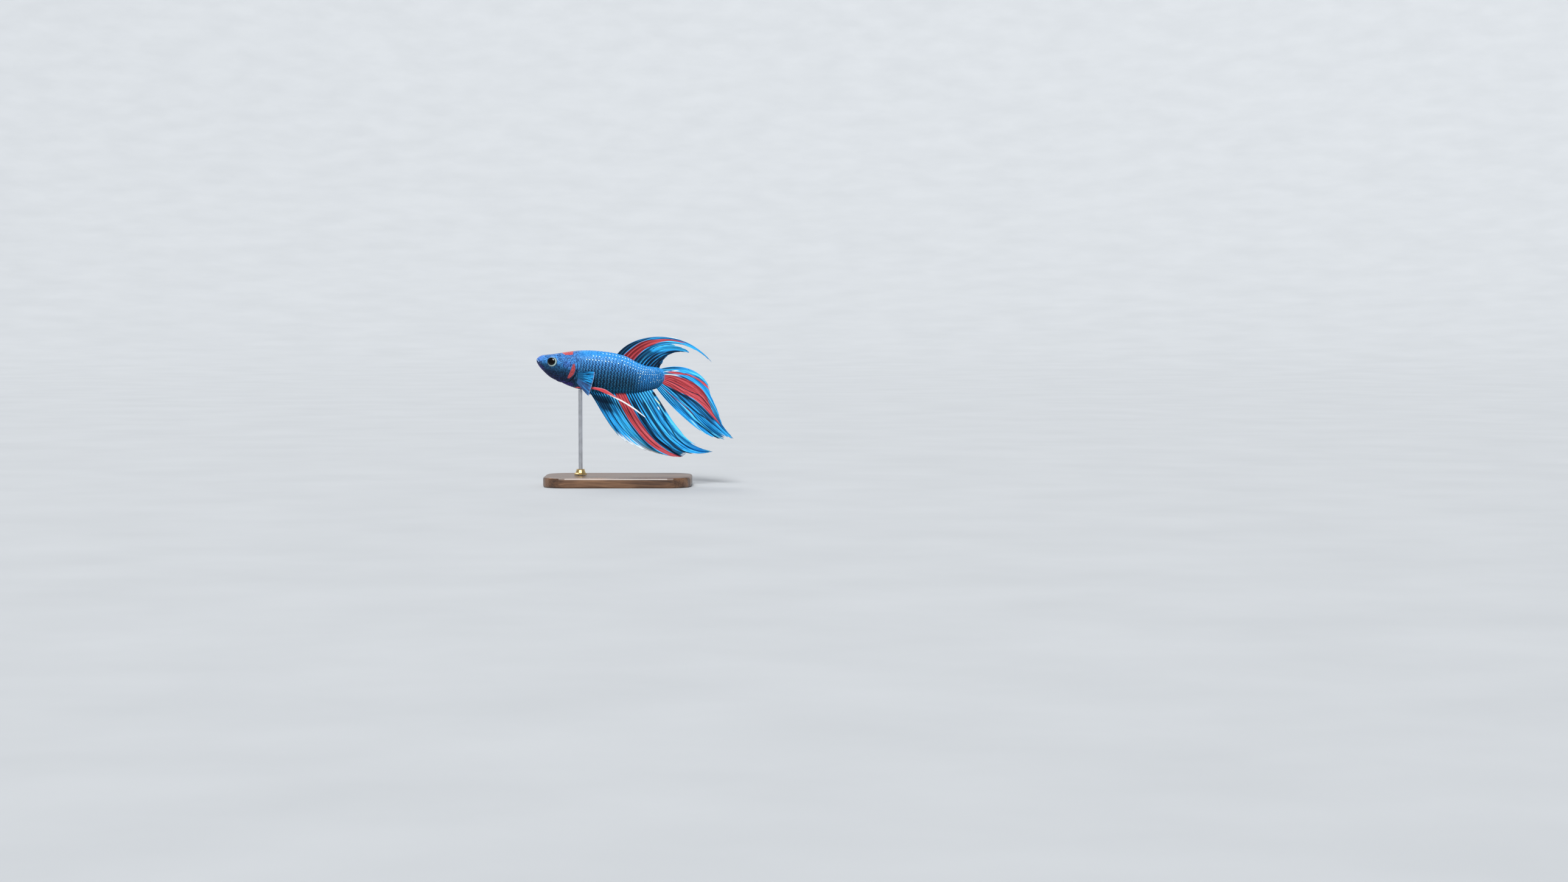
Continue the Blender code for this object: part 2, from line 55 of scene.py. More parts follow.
# The body's outlines, as in the solids: (distance from the snout, value) knots.
BODY_LENGTH = 50.2
NOSE_UP = 7.5
TOP_LINE = (
    (0, -0.1), (0.5, 0.8), (1.1, 1.4), (1.9, 1.95), (3.3, 2.4), (6.6, 3.2), (9.2, 3.95), (13, 5.0),
    (19, 6.2), (25, 6.6), (31, 6.45), (35, 5.85), (39, 4.3), (42, 3.4), (46, 3.2), (BODY_LENGTH, 3.15),
)
BOTTOM_LINE = (
    (0, -0.1), (0.5, -1.4), (1.5, -2.7), (3, -4.1), (6, -6.2), (10, -7.7), (15, -8.95),
    (20, -9.6), (25, -9.75), (32, -9.25), (38, -8.4), (42, -7.5), (46, -6.2), (BODY_LENGTH, -4.6),
)
HALF_WIDTH = (
    (0, 0.0), (0.5, 1.2), (1.3, 1.75), (3, 2.35), (6.3, 3.0), (10, 3.65), (15, 4.3), (19, 4.45),
    (25, 4.3), (32, 3.65), (38, 2.85), (44, 1.95), (48, 1.35), (BODY_LENGTH, 0.75),
)
WIDEST_AT = ((0, 0.5), (6, 0.58), (15, 0.5), (30, 0.5), (BODY_LENGTH, 0.5))
UPPER_ROUNDING = 2.15
LOWER_ROUNDING = 1.9

# The head's parts.
EYE_AT = (6.4, 0.0)
EYE_RADIUS = 1.92
EYE_HALF_DEPTH = 1.3
EYE_OFFSET = 2.05
SOCKET_FLOOR = -1.3
EYE_FLATNESS = 0.55  # below 1, the front of the eye is flatter than an ellipsoid
EYE_TURN = (-0.16, 0.14)  # how its axis leans forward and up, with the side of the head
PUPIL_AT = (-0.28, 0.15)
PUPIL_RADIUS = 1.5
GILL_CENTRE = (10.8, -2.2)
GILL_RADIUS = 5.4
GILL_COVER_FRONT = (7.3, -2.0)
GILL_COVER_FRONT_RADIUS = 3.7
MOUTH_LINE = ((-2.0, -0.1), (0.0, -0.25), (1.2, -1.1), (2.5, -2.1))
CHEEK_FOLD = ((2.3, -2.0), (2.9, -2.9), (3.1, -3.9))
NOSTRILS = ((2.5, 1.25), (3.5, 1.6))

# Skin and scales.
SKIN_END = 51.5  # where it has closed round the roots of the tail fin
TAIL_CLOSING = 47.6
SKIN_RINGS = 272
SKIN_HALF_POINTS = 92
ARC_STEPS = 120
RING_CROWDING = 1.6
COAT_DEPTH = 0.12
SCALE_ROWS = 12  # rows from the lateral line to the back, and as many to the belly
SCALE_FIRST = 2.4
SCALE_PITCH = ((2.4, 0.42), (8, 0.52), (12, 0.66), (17, 1.02), (38, 1.1), (45, 0.84), (SKIN_END, 0.62))
SCALE_STAGGER = 0.17
SCALE_LENGTH = 1.62  # in pitches
SCALE_WIDTH = 1.3  # in row spacings
SCALE_STEPS = (6, 5)
SCALE_THICKNESS = 0.035
SCALE_RISE = ((0, 0.06), (10, 0.07), (18, 0.18), (38, 0.18), (46, 0.12), (SKIN_END, 0.08))
SCALE_DOME = 0.03
# Rows of scales that bear a painted highlight, a pale glint at each scale's middle, and where along the body.
PAINTED_GLINT_ROWS = {3: (38.0, 49.0), 5: (18.5, 47.5), 7: (21.0, 47.5), 9: (24.0, 43.5), 10: (31.0, 37.0)}
DULL_SHARE = 0.1  # of the scales in these rows, which bear no painted highlight
# Painted highlights on the tail stalk's scales as well: their rows, from where, and the share without one.
STALK_PAINTED_GLINT_ROWS = (-6, 9)
STALK_PAINTED_GLINTS_FROM = 39.5
STALK_DULL_SHARE = 0.8
BARE_RIM = 0.62  # round the eye and the nostrils
BARE_JAW = (4.6, 0.4)

# Fins: guide rays, each with its root along the base, its length, and its slope in degrees.
DORSAL = {
    "base": (31.3, 33.6, 36.6, 39.7, 42.2, 45.1, 47.2, 48.4),
    "length": (25.2, 39.0, 30.0, 22.0, 20.7, 13.0, 5.5, 2.0),
    "root": (58, 58, 58, 64, 63, 60, 66, 75),
    "middle": (19, 2, 11, 22, 20, 34, 55, 66),
    "tip": (0, -41, -31, -10, -19, 8, 26, 45),
}
CAUDAL = {
    "base": (3.0, 2.3, 2.0, 1.7, 1.4, 0.5, -0.9, -2.3, -3.5, -4.5, -5.5),
    "length": (22.6, 20.8, 25.5, 36.5, 36.9, 36.6, 37.7, 35.1, 34.0, 30.0, 29.0),
    "root": (22, 8, 14, 22, 20, 14, -2, -18, -31, -41, -45),
    "middle": (-14, -9, -24, -43, -43, -43, -41, -38, -38, -37, -34),
    "tip": (-65, -55, -66, -62, -59, -48, -30, -25, -14, -22, -24),
}
ANAL = {
    "base": (22.0, 23.5, 26.9, 30.3, 33.8, 37.4, 41.0, 44.2, 46.8),
    "length": (23.1, 27.9, 32.0, 33.1, 36.4, 34.8, 39.5, 36.9, 27.7),
    "root": (-48, -52, -56, -57, -58, -57, -53, -49, -47),
    "middle": (-51, -50, -45, -44, -42, -42, -38, -41, -48),
    "tip": (-38, -22, -15, -14, -4, -3, 14, 9, -22),
}
PECTORAL = {
    "base": (-2.9, -3.9, -5.0, -6.0, -6.9),
    "length": (6.9, 6.5, 6.2, 6.5, 7.2),
    "root": (22, 6, -14, -30, -44),
    "middle": (10, 0, -16, -30, -40),
    "tip": (2, -4, -16, -28, -34),
}
RAY_STEPS = 96
ROOT_DEPTH = 1.0
# Of each fin's folds, as folded takes them: amount, count, start, sway and pleats.
DORSAL_FOLDS = (1.3, 1.6, 0.1, 0.8, 5)
CAUDAL_FOLDS = (1.9, 2.4, 0.3, -1.6, 7)
ANAL_FOLDS = (1.7, 3.3, 0.55, 0.9, 9)
FOLD_GROWTH = 1.4
STALK_END_BULGE = 0.06
STALK_END_MIDDLE = -0.4
PECTORAL_BASE = (17.1, 0.4)
PECTORAL_FLARE = 22.0
PECTORAL_ROOT_DEPTH = 0.8
WEB_HALF_THICKNESS = 0.06
PECTORAL_RAY_HALF = 0.12
RAY_HALF_THICKNESS = 0.2
TIP_HALF_THICKNESS = 0.05

PELVIC_LINE = (
    (16.2, -8.9), (19, -8.6), (22.5, -8.2), (25, -8.15), (27.3, -8.45), (29.8, -9.25), (32.4, -10.4),
    (37.5, -12.5), (41.4, -14.4), (45.6, -16.8),
)
PELVIC_WIDTH = (
    (16.2, 0.25), (18.5, 0.6), (21, 0.85), (25, 1.0), (28.5, 1.5), (31, 1.1), (34, 0.75), (43, 0.5),
    (45.6, 0.25),
)
PELVIC_THREAD = (36, 45.6)  # where it thins to half its thickness
PELVIC_APART = ((16.2, 0.6), (19, 2.9), (24, 4.3), (29, 4.2), (36, 3.9), (45.6, 4.8))

random = np.random.RandomState(SEED)


def curve_through(knots, power=1.0):
    """A smooth function through (x, value) knots. Power 0.5 lets it start as a round nose does."""
    xs = np.array([x for x, _ in knots], float) ** power
    values = np.array([value for _, value in knots], float)
    spans = np.diff(xs)
    slopes = np.diff(values) / spans
    inner = (slopes[:-1] * spans[1:] + slopes[1:] * spans[:-1]) / (spans[:-1] + spans[1:])
    tangents = np.concatenate([slopes[:1], inner, slopes[-1:]])

    def value_at(x):
        x = np.maximum(np.asarray(x, float), 0.0) ** power
        i = np.clip(np.searchsorted(xs, x) - 1, 0, len(spans) - 1)
        t = np.clip((x - xs[i]) / spans[i], 0, 1)
        return (
            (2 * t**3 - 3 * t**2 + 1) * values[i]
            + (t**3 - 2 * t**2 + t) * spans[i] * tangents[i]
            + (3 * t**2 - 2 * t**3) * values[i + 1]
            + (t**3 - t**2) * spans[i] * tangents[i + 1]
        )

    return value_at


top_line = curve_through(TOP_LINE, 0.5)
bottom_line = curve_through(BOTTOM_LINE, 0.5)
half_width = curve_through(HALF_WIDTH, 0.5)
widest_at = curve_through(WIDEST_AT)


def smooth(value, low, high):
    """0 below low, 1 above high, and a smooth step between them."""
    t = np.clip((np.asarray(value, float) - low) / (high - low), 0, 1)
    return t * t * (3 - 2 * t)


def bump(value, centre, width):
    return np.exp(-(((value - centre) / width) ** 2))


# Where the design frame lies in the world: the eye's centre is known in both.
low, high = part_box("eye_left")
turn = math.radians(NOSE_UP)
EYE_IN_WORLD = (np.array(low) + np.array(high)) / 2 / MM
WORLD_X = EYE_IN_WORLD[0] - (EYE_AT[0] * math.cos(turn) + EYE_AT[1] * math.sin(turn))
WORLD_Z = EYE_IN_WORLD[2] - (EYE_AT[1] * math.cos(turn) - EYE_AT[0] * math.sin(turn))


def to_world(points):
    """Design millimetres to metres of the row's frame."""
    x, y, z = np.moveaxis(np.asarray(points, float), -1, 0)
    world_x = WORLD_X + x * math.cos(turn) + z * math.sin(turn)
    world_z = WORLD_Z + z * math.cos(turn) - x * math.sin(turn)
    return np.stack([world_x, y, world_z], -1) * MM


def make_object(name, points, faces, material, replaced, attributes=None, uv=None):
    """A smooth mesh from design points and faces, riding on the model, in place of CAD nodes."""
    mesh = bpy.data.meshes.new(name)
    mesh.from_pydata(to_world(points).tolist(), [], [list(map(int, face)) for face in faces])
    for key, values in (attributes or {}).items():
        layer = mesh.attributes.new(key, "FLOAT_VECTOR", "POINT")
        layer.data.foreach_set("vector", np.asarray(values, np.float32).ravel())
    if uv is not None:
        layer = mesh.uv_layers.new(name="OFBake")
        corners = np.empty(len(mesh.loops), np.int32)
        mesh.loops.foreach_get("vertex_index", corners)
        layer.uv.foreach_set("vector", np.asarray(uv, np.float32)[corners].ravel())
    mesh.materials.append(material)
    mesh.shade_smooth()
    made = bpy.data.objects.new(name, mesh)
    bpy.context.scene.collection.objects.link(made)
    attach(made, "root")
    if replaced:
        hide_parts(*replaced)
    return made


def grid_faces(columns, rows, start=0, wrap=False, flip=False):
    """Quads of a [column, row] grid of points."""
    c, r = np.meshgrid(np.arange(columns if wrap else columns - 1), np.arange(rows - 1), indexing="ij")
    after = (c + 1) % columns
    quads = np.stack([c * rows + r, after * rows + r, after * rows + r + 1, c * rows + r + 1], -1)
    quads = quads.reshape(-1, 4) + start
    return quads[:, ::-1] if flip else quads


def sheet_solid(grid, half):
    """Points and faces of a closed solid: a [column, row] surface with its thickness on both sides."""
    columns, rows = grid.shape[:2]
    across = np.cross(np.gradient(grid, axis=0), np.gradient(grid, axis=1))
    across *= half[..., None] / np.maximum(np.linalg.norm(across, axis=2, keepdims=True), 1e-9)
    points = np.concatenate([(grid + across).reshape(-1, 3), (grid - across).reshape(-1, 3)])
    other = columns * rows
    faces = [grid_faces(columns, rows), grid_faces(columns, rows, other, flip=True)]
    c, r, last = np.arange(columns - 1), np.arange(rows - 1), other - rows
    rims = (
        (c * rows, (c + 1) * rows), ((c + 2) * rows - 1, (c + 1) * rows - 1),
        (r + 1, r), (last + r, last + r + 1),
    )
    for a, b in rims:
        faces.append(np.stack([a, a + other, b + other, b], -1))
    return points, np.concatenate(faces)


# Materials.


class Value:
    """An output of a material's node tree, to be reckoned with like a number."""

    def __init__(self, nodes, socket):
        self.nodes, self.socket = nodes, socket

    def __add__(self, other):
        return self.nodes.sum("ADD", self, other)

    def __sub__(self, other):
        return self.nodes.sum("SUBTRACT", self, other)

    def __rsub__(self, other):
        return self.nodes.sum("SUBTRACT", other, self)

    def __mul__(self, other):
        return self.nodes.sum("MULTIPLY", self, other)

    def __pow__(self, other):
        return self.nodes.sum("POWER", self, other)

    def __abs__(self):
        return self.nodes.sum("ABSOLUTE", self)

    __radd__, __rmul__ = __add__, __mul__


class Nodes:
    """A material whose node tree is written as sums of its Values."""

    def __init__(self, name):
        self.material = bpy.data.materials.new(name)
        self.material.use_nodes = True
        self.tree = self.material.node_tree
        self.shader = self.tree.nodes["Principled BSDF"]

    def add(self, kind, **settings):
        node = self.tree.nodes.new("ShaderNode" + kind)
        for key, value in settings.items():
            setattr(node, key, value)
        return node

    def put(self, socket, value):
        if isinstance(value, Value):
            self.tree.links.new(value.socket, socket)
        elif isinstance(value, tuple):
            socket.default_value = (*value, 1)
        else:
            socket.default_value = value

    def fed(self, node, output, inputs):
        """That output of a node, once these inputs are put in."""
        for key, value in inputs.items():
            self.put(node.inputs[key], value)
        return Value(self, node.outputs[output])

    def sum(self, operation, *values):
        return self.fed(self.add("Math", operation=operation), 0, dict(enumerate(values)))

    def step(self, value, low, high):
        """A smooth step up from low to high, or down where low is above high."""
        node = self.add("MapRange", interpolation_type="SMOOTHSTEP")
        return self.fed(node, "Result", {"Value": value, "From Min": low, "From Max": high})

    def window(self, value, low, high, soft):
        """1 between low and high, with soft edges."""
        return self.step(value, low - soft, low + soft) * self.step(value, high + soft, high - soft)

    def mix(self, factor, a, b, blend="MIX"):
        """Colour a where factor is 0, b where it is 1."""
        node = self.add("Mix", data_type="RGBA", blend_type=blend)
        return self.fed(node, 2, {"Factor": factor, 6: a, 7: b})

    def blend(self, factor, a, b):
        """Number a where factor is 0, b where it is 1."""
        return factor * (b - a) + a

    def hump(self, value, centre, width):
        """1 at the centre, falling to 0 at a width from it."""
        return self.step(abs(value - centre), width, 0.0)

    def ramp(self, factor, stops):
        node = self.add("ValToRGB")
        elements = node.color_ramp.elements
        while len(elements) < len(stops):
            elements.new(0.5)
        for element, (position, colour) in zip(elements, stops):
            element.position = position
            element.color = (*colour, 1)
        return self.fed(node, 0, {0: factor})

    def curve(self, value, knots):
        """A number read off a curve through (value, number) knots."""
        node = self.add("FloatCurve")
        points = node.mapping.curves[0].points
        while len(points) < len(knots):
            points.new(0.5, 0.5)
        for point, knot in zip(points, knots):
            point.location = knot
        node.mapping.update()
        return self.fed(node, 0, {"Value": value})

    def attribute(self, name):
        return self.fed(self.add("Attribute", attribute_name=name), "Vector", {})

    def split(self, vector):
        node = self.add("SeparateXYZ")
        self.put(node.inputs[0], vector)
        return [Value(self, output) for output in node.outputs]

    def vector(self, *parts):
        return self.fed(self.add("CombineXYZ"), 0, dict(enumerate(parts)))

    def noise(self, vector, scale=1.0, detail=2.0, roughness=0.5):
        inputs = {"Vector": vector, "Scale": scale, "Detail": detail, "Roughness": roughness}
        return self.fed(self.add("TexNoise"), "Fac", inputs)

    def place(self):
        """Where a point of a CAD part is, in millimetres."""
        at = self.fed(self.add("TexCoord"), "Object", {})
        return self.fed(self.add("VectorMath", operation="SCALE"), 0, {0: at, "Scale": 1 / MM})

    def finish(self, colour, roughness, bump=None, strength=0.3, distance=0.05, **fixed):
        """The material, with a relief of this strength and depth in millimetres."""
        inputs = {key.replace("_", " "): value for key, value in fixed.items()}
        if bump is not None:
            relief = {"Strength": strength, "Distance": distance * MM, "Height": bump}
            inputs["Normal"] = self.fed(self.add("Bump"), 0, relief)
        self.fed(self.shader, 0, {"Base Color": colour, "Roughness": roughness, **inputs})
        return self.material


# Colours of the body by height, belly (0) to back (1): its light spots and its dark ones.
HEAD_LIGHT = (
    (0.0, (0.03, 0.022, 0.15)), (0.18, (0.012, 0.026, 0.09)), (0.34, (0.01, 0.052, 0.12)),
    (0.45, (0.016, 0.095, 0.21)), (0.55, (0.045, 0.26, 0.64)), (0.75, (0.07, 0.32, 0.82)), (1.0,
    (0.05, 0.21, 0.58)),
)
HEAD_DARK = (
    (0.0, (0.004, 0.004, 0.025)), (0.18, (0.0015, 0.003, 0.012)), (0.34, (0.001, 0.007, 0.02)),
    (0.45, (0.001, 0.017, 0.055)), (0.55, (0.002, 0.034, 0.12)), (0.75, (0.002, 0.035, 0.15)),
    (1.0, (0.003, 0.035, 0.14)),
)
TRUNK_LIGHT = (
    (0.0, (0.02, 0.2, 0.38)), (0.1, (0.018, 0.17, 0.33)), (0.2, (0.013, 0.1, 0.2)), (0.35, (0.014, 0.1, 0.2)),
    (0.5, (0.026, 0.16, 0.34)), (0.6, (0.05, 0.25, 0.56)), (0.7, (0.075, 0.34, 0.77)), (0.85,
    (0.055, 0.37, 0.86)),
    (1.0, (0.05, 0.37, 0.86)),
)
TRUNK_DARK = (
    (0.0, (0.006, 0.09, 0.18)), (0.13, (0.0015, 0.026, 0.06)), (0.3, (0.0005, 0.008, 0.02)),
    (0.45, (0.0008, 0.016, 0.05)), (0.6, (0.001, 0.028, 0.095)), (0.7, (0.003, 0.06, 0.2)),
    (0.83, (0.013, 0.19, 0.55)), (1.0, (0.017, 0.23, 0.64)),
)
STALK_LIGHT = (
    (0.0, (0.015, 0.13, 0.29)), (0.3, (0.025, 0.2, 0.47)), (0.55, (0.04, 0.26, 0.62)), (1.0,
    (0.045, 0.34, 0.8)),
)
STALK_DARK = (
    (0.0, (0.002, 0.028, 0.07)), (0.3, (0.002, 0.05, 0.15)), (0.55, (0.004, 0.09, 0.28)), (1.0,
    (0.01, 0.16, 0.46)),
)
RED = (0.52, 0.075, 0.085)
DARK_RED = (0.2, 0.02, 0.03)
BLACK = (0.001, 0.004, 0.01)
PURPLE = (0.1, 0.055, 0.44)
# The colour of the painted highlight along the upper lip.
LIP_HIGHLIGHT_BLUE = (0.35, 0.58, 0.98)
GILL_RED_AT = (14.9, -2.8)
GILL_RED_AXIS = (0.27, 0.963)
GILL_RED_REACH = (3.2, 0.88)
GILL_RED_BEND = 0.065
NAPE_SPAN = (9.6, 14.1)
NAPE_EDGES = ((0.17, 1.38), (-0.42, 7.98))  # slope and level of the lines below its red
BODY_GLOSS = {"Coat_Weight": 0.04, "Specular_IOR_Level": 0.14}


def body_colour(n, margin=None):
    """The body's markings by place, for skin and scales alike, and the place itself.

    Margin is how near a spot of a scale is to its dark edge.
    """
    place = n.attribute("place")
    x, y, z = n.split(place)
    share = n.split(n.attribute("lie"))[0]
    height = share * 0.5 + 0.5 + (n.noise(place, 0.7) - 0.5) * 0.14

    # A fine net of light and dark on the head and the back, with upright streaks at the gill.
    net = n.noise(n.vector(x * 4.0, y * 2.8, z * 2.6), 1.0, 2.0, 0.6)
    clouds = n.noise(place, 0.62, 1.0) - 0.5
    streaks = n.noise(n.vector(x * 2.1, y * 0.8, z * 0.62), 1.0, 2.0, 0.65)
    lips = n.noise(n.vector((x + z) * 2.6, (x - z) * 0.5), 1.0, 2.0, 0.6)
    spots = n.blend(n.window(x, 15.6, 20.5, 1.2) * n.step(height, 0.95, 0.7), net, streaks)
    spots = n.blend(n.step(x, 3.4, 2.2) * n.step(z, 1.2, 0.4), spots, lips)
    light = n.step(spots + clouds * 0.24, 0.41, 0.59)
    mottle = n.step(n.noise(place, 2.4, 2.0, 0.6), 0.3, 0.64)
    light = n.blend(n.step(x, 17.5, 21.5), light, mottle)
    if margin is not None:
        flank = n.step(height, 0.86, 0.66) * n.step(x, 15.0, 20.5)
        light = n.blend(flank * 0.97, light, mottle * 0.35 + 0.7 - margin)
    on_trunk, on_stalk = n.step(x, 14.5, 18.5), n.step(x, 38.0, 44.0)
    shades = []
    for ramps in (HEAD_DARK, TRUNK_DARK, STALK_DARK), (HEAD_LIGHT, TRUNK_LIGHT, STALK_LIGHT):
        head, trunk, stalk = (n.ramp(height, stops) for stops in ramps)
        shades.append(n.mix(on_stalk, n.mix(on_trunk, head, trunk), stalk))
    colour = n.mix(light, *shades)

    # Purple on the snout, the gill cover, behind the throat and on the jaw, and a painted highlight along the
    # upper lip.
    purple = (
        n.step(x, 3.6, 0.4) * n.step(height, 0.3, 0.6) * 0.4
        + n.window(x, 11.0, 15.8, 0.8) * n.step(height, 0.2, 0.1) * 0.5
        + n.window(x, 11.0, 14.2, 0.8) * n.window(z, -1.4, 1.0, 0.8) * 0.25
        + n.step(x, 4.5, 2.0) * n.step(height, 0.4, 0.2) * 0.35
    )
    colour = n.mix(purple * (light * 0.7 + 0.3), colour, PURPLE)
    # Painted highlight: pale streaks along the upper lip.
    lip = n.window(x, 0.1, 1.7, 0.25) * n.hump(x * 0.9 + z, 0.35, 0.4)
    colour = n.mix(lip * n.step(streaks, 0.42, 0.56), colour, LIP_HIGHLIGHT_BLUE)

    # Pale flecks: fine ones over the head's upper half, and a few on the dark cheek.
    sparks = n.step(n.noise(n.vector(x * 4.2, y * 3.0, z * 2.4), 1.0, 1.0), 0.6, 0.7)
    sparks *= n.step(x, 20.0, 15.0) * n.step(height, 0.42, 0.6)
    colour = n.mix(sparks * 0.5, colour, (0.3, 0.58, 0.98))
    flecks = n.step(n.noise(place, 2.8, 1.0), 0.68, 0.76) * n.window(x, 5.0, 12.0, 1.0)
    colour = n.mix(flecks * n.step(height, 0.45, 0.35) * 0.3, colour, (0.3, 0.3, 0.55))

    # Red along the hind edge of the gill cover, darker there with painted shade, and on the nape, and painted
    # shade in the gill opening.
    edge = n.noise(place, 1.8, 3.0) - 0.5
    away, (cos, sin) = (x - GILL_RED_AT[0], z - GILL_RED_AT[1]), GILL_RED_AXIS
    along = away[0] * cos + away[1] * sin
    across = away[0] * sin - away[1] * cos + along * along * GILL_RED_BEND
    spot = (along * (1 / GILL_RED_REACH[0])) ** 2 + (across * (1 / GILL_RED_REACH[1])) ** 2
    gill = n.step(spot + edge * 0.7, 1.2, 0.7)
    outline = n.sum("MINIMUM", *(z - (x * slope + level) for slope, level in NAPE_EDGES)) + edge * 0.5
    nape = n.window(x + edge * 0.6, *NAPE_SPAN, 0.12) * n.step(outline, -0.1, 0.1)
    # On the gill cover the red is a darker red than on the nape: painted shade.
    red = n.mix(n.step(n.noise(place, 5.0), 0.28, 0.55), DARK_RED, n.mix(gill, RED, (0.4, 0.06, 0.065)))
    red = n.mix(n.step(n.noise(place, 5.5), 0.56, 0.7) * 0.7, red, (0.72, 0.2, 0.21))
    colour = n.mix(n.sum("MAXIMUM", gill, nape), colour, red)
    # Painted shade: a black line in the gill opening, along the lower part of the gill cover's hind edge.
    from_gill = n.sum("SQRT", (x - GILL_CENTRE[0]) ** 2 + (z - GILL_CENTRE[1]) ** 2)
    gill_shadow = n.window(from_gill, GILL_RADIUS + 0.02, GILL_RADIUS + 0.32, 0.06) * n.step(z, -0.3, -2.4)
    return n.mix(gill_shadow * n.step(x, 10.2, 11.4) * 0.92, colour, BLACK), place


def skin_material():
    n = Nodes("fish_skin")
    colour, place = body_colour(n)
    pores = n.noise(place, 6.0, 3.0)
    return n.finish(colour, pores * 0.2 + 0.36, pores, 0.35, 0.06, Coat_Roughness=0.15, **BODY_GLOSS)


def scale_material():
    """A scale has a dark hind margin, strongest on the flank, and some bear a painted highlight, a pale
    glint.
    """
    n = Nodes("fish_scales")
    along, across, painted_glint = n.split(n.attribute("scale"))
    tone = n.split(n.attribute("lie"))[1]
    margin = n.step(along + abs(across) * 0.1 + (tone - 0.5) * 0.08, 0.6, 0.78)
    colour, place = body_colour(n, margin)
    shade = n.ramp(tone, ((0.0, (0.8, 0.85, 0.9)), (1.0, (1.0, 1.0, 1.0))))
    colour = n.mix(1.0, colour, shade, "MULTIPLY")
    # A painted highlight: a pale round glint at the middle of the scales that bear one.
    far = ((along - 0.6) * (1 / 0.15)) ** 2 + (across * (1 / 0.42)) ** 2
    colour = n.mix(n.step(far, 1.05, 0.4) * painted_glint, colour, (0.78, 1.0, 0.88))
    relief = n.sum("SINE", across * 30.0) * 0.4 + n.sum("SINE", along * 70.0)
    rough = n.noise(place, 4.0) * 0.2 + 0.34
    return n.finish(colour, rough, relief, 0.1, 0.02, Coat_Roughness=0.12, **BODY_GLOSS)


WEB_BLUES = (
    (0.0, (0.0006, 0.007, 0.02)), (0.26, (0.0015, 0.026, 0.066)), (0.42, (0.008, 0.13, 0.33)),
    (0.6, (0.018, 0.3, 0.7)), (0.8, (0.04, 0.47, 0.93)), (1.0, (0.13, 0.68, 0.98)),
)
WEB_REDS = (
    (0.0, (0.02, 0.002, 0.004)), (0.26, (0.12, 0.01, 0.014)), (0.46, (0.4, 0.042, 0.052)),
    (0.7, (0.58, 0.09, 0.11)), (1.0, (0.72, 0.2, 0.23)),
)
WHITE = (0.88, 0.97, 1.0)
NAVY = (0.0006, 0.012, 0.034)
CREAM = (0.75, 0.8, 0.45)


def fin_material(name, rays, red, red_span, level, touches, contrast=0.5, redness=0.56):
    """Rays and webs, coloured by their share of the base and the way along them.

    Red lies between two curves over the way along. Level is a curve over the share for how light
    the blues are, redness is how light the reds are, and contrast is how much lighter the rays are
    than the webs. A touch is a streak: its colour, its share and its half width, which are numbers
    or curves over the way along, then from, to and strength.
    """
    n = Nodes(name)
    share, along, crest = n.split(n.attribute("lie"))

    def streaks(across, lengthwise, shift, detail=2.0, roughness=0.5):
        return n.noise(n.vector(share * (rays * across), along * lengthwise, shift), 1.0, detail, roughness)

    strands, fine = streaks(0.9, 1.1, 0.0, 3.0, 0.6), streaks(7.0, 3.0, 3.0)
    on_ray, outer = n.step(crest, 0.1, 0.62), n.step(along, 0.1, 0.45)
    light = (strands - 0.5) * n.blend(outer, 0.9, 2.3) + (fine - 0.5) * 0.7
    light += (on_ray - 0.55) * n.blend(outer, contrast, 0.3 * contrast) + outer * 0.13
    at = share + (streaks(2.0, 3.0, 7.0) - 0.5) * (0.25 / rays)
    start, end = (n.curve(along, border) for border in red)
    reddened = n.step(at - start, -0.006, 0.006) * n.step(end - at, -0.006, 0.006)
    reddened *= n.window(along, *red_span, 0.03)
    blue = n.ramp(light + n.curve(share, level), WEB_BLUES)
    colour = n.mix(reddened, blue, n.ramp(light * 0.55 + redness, WEB_REDS))
    lines = n.step(n.sum("SINE", streaks(0.7, 1.1, 11.0, 1.0) * 60.0), 0.82, 0.99)
    lines *= n.window(along, 0.06, 0.96, 0.05) * 0.42
    colour = n.mix(lines, colour, n.mix(reddened, NAVY, (0.07, 0.006, 0.009)))
    for tint, centre, width, first, last, strength in touches:
        if isinstance(centre, float):
            centre = ((0, centre), (1, centre))
        if isinstance(width, tuple):
            width = n.curve(along, width)
        off = abs(at - n.curve(along, centre))
        soft = min(0.04, 0.2 * (last - first))
        touch = n.step(off, width, width * 0.5) * n.window(along, first, last, soft)
        shaded = n.mix(n.step(on_ray + fine, 0.45, 1.0), NAVY, tint)
        colour = n.mix(touch * strength, colour, n.mix(0.3, tint, shaded))
    relief = n.sum("SINE", along * 420.0) * 0.3 + fine
    return n.finish(colour, fine * 0.2 + 0.42, relief, 0.25, 0.04, Specular_IOR_Level=0.1)


# Skin and scales.


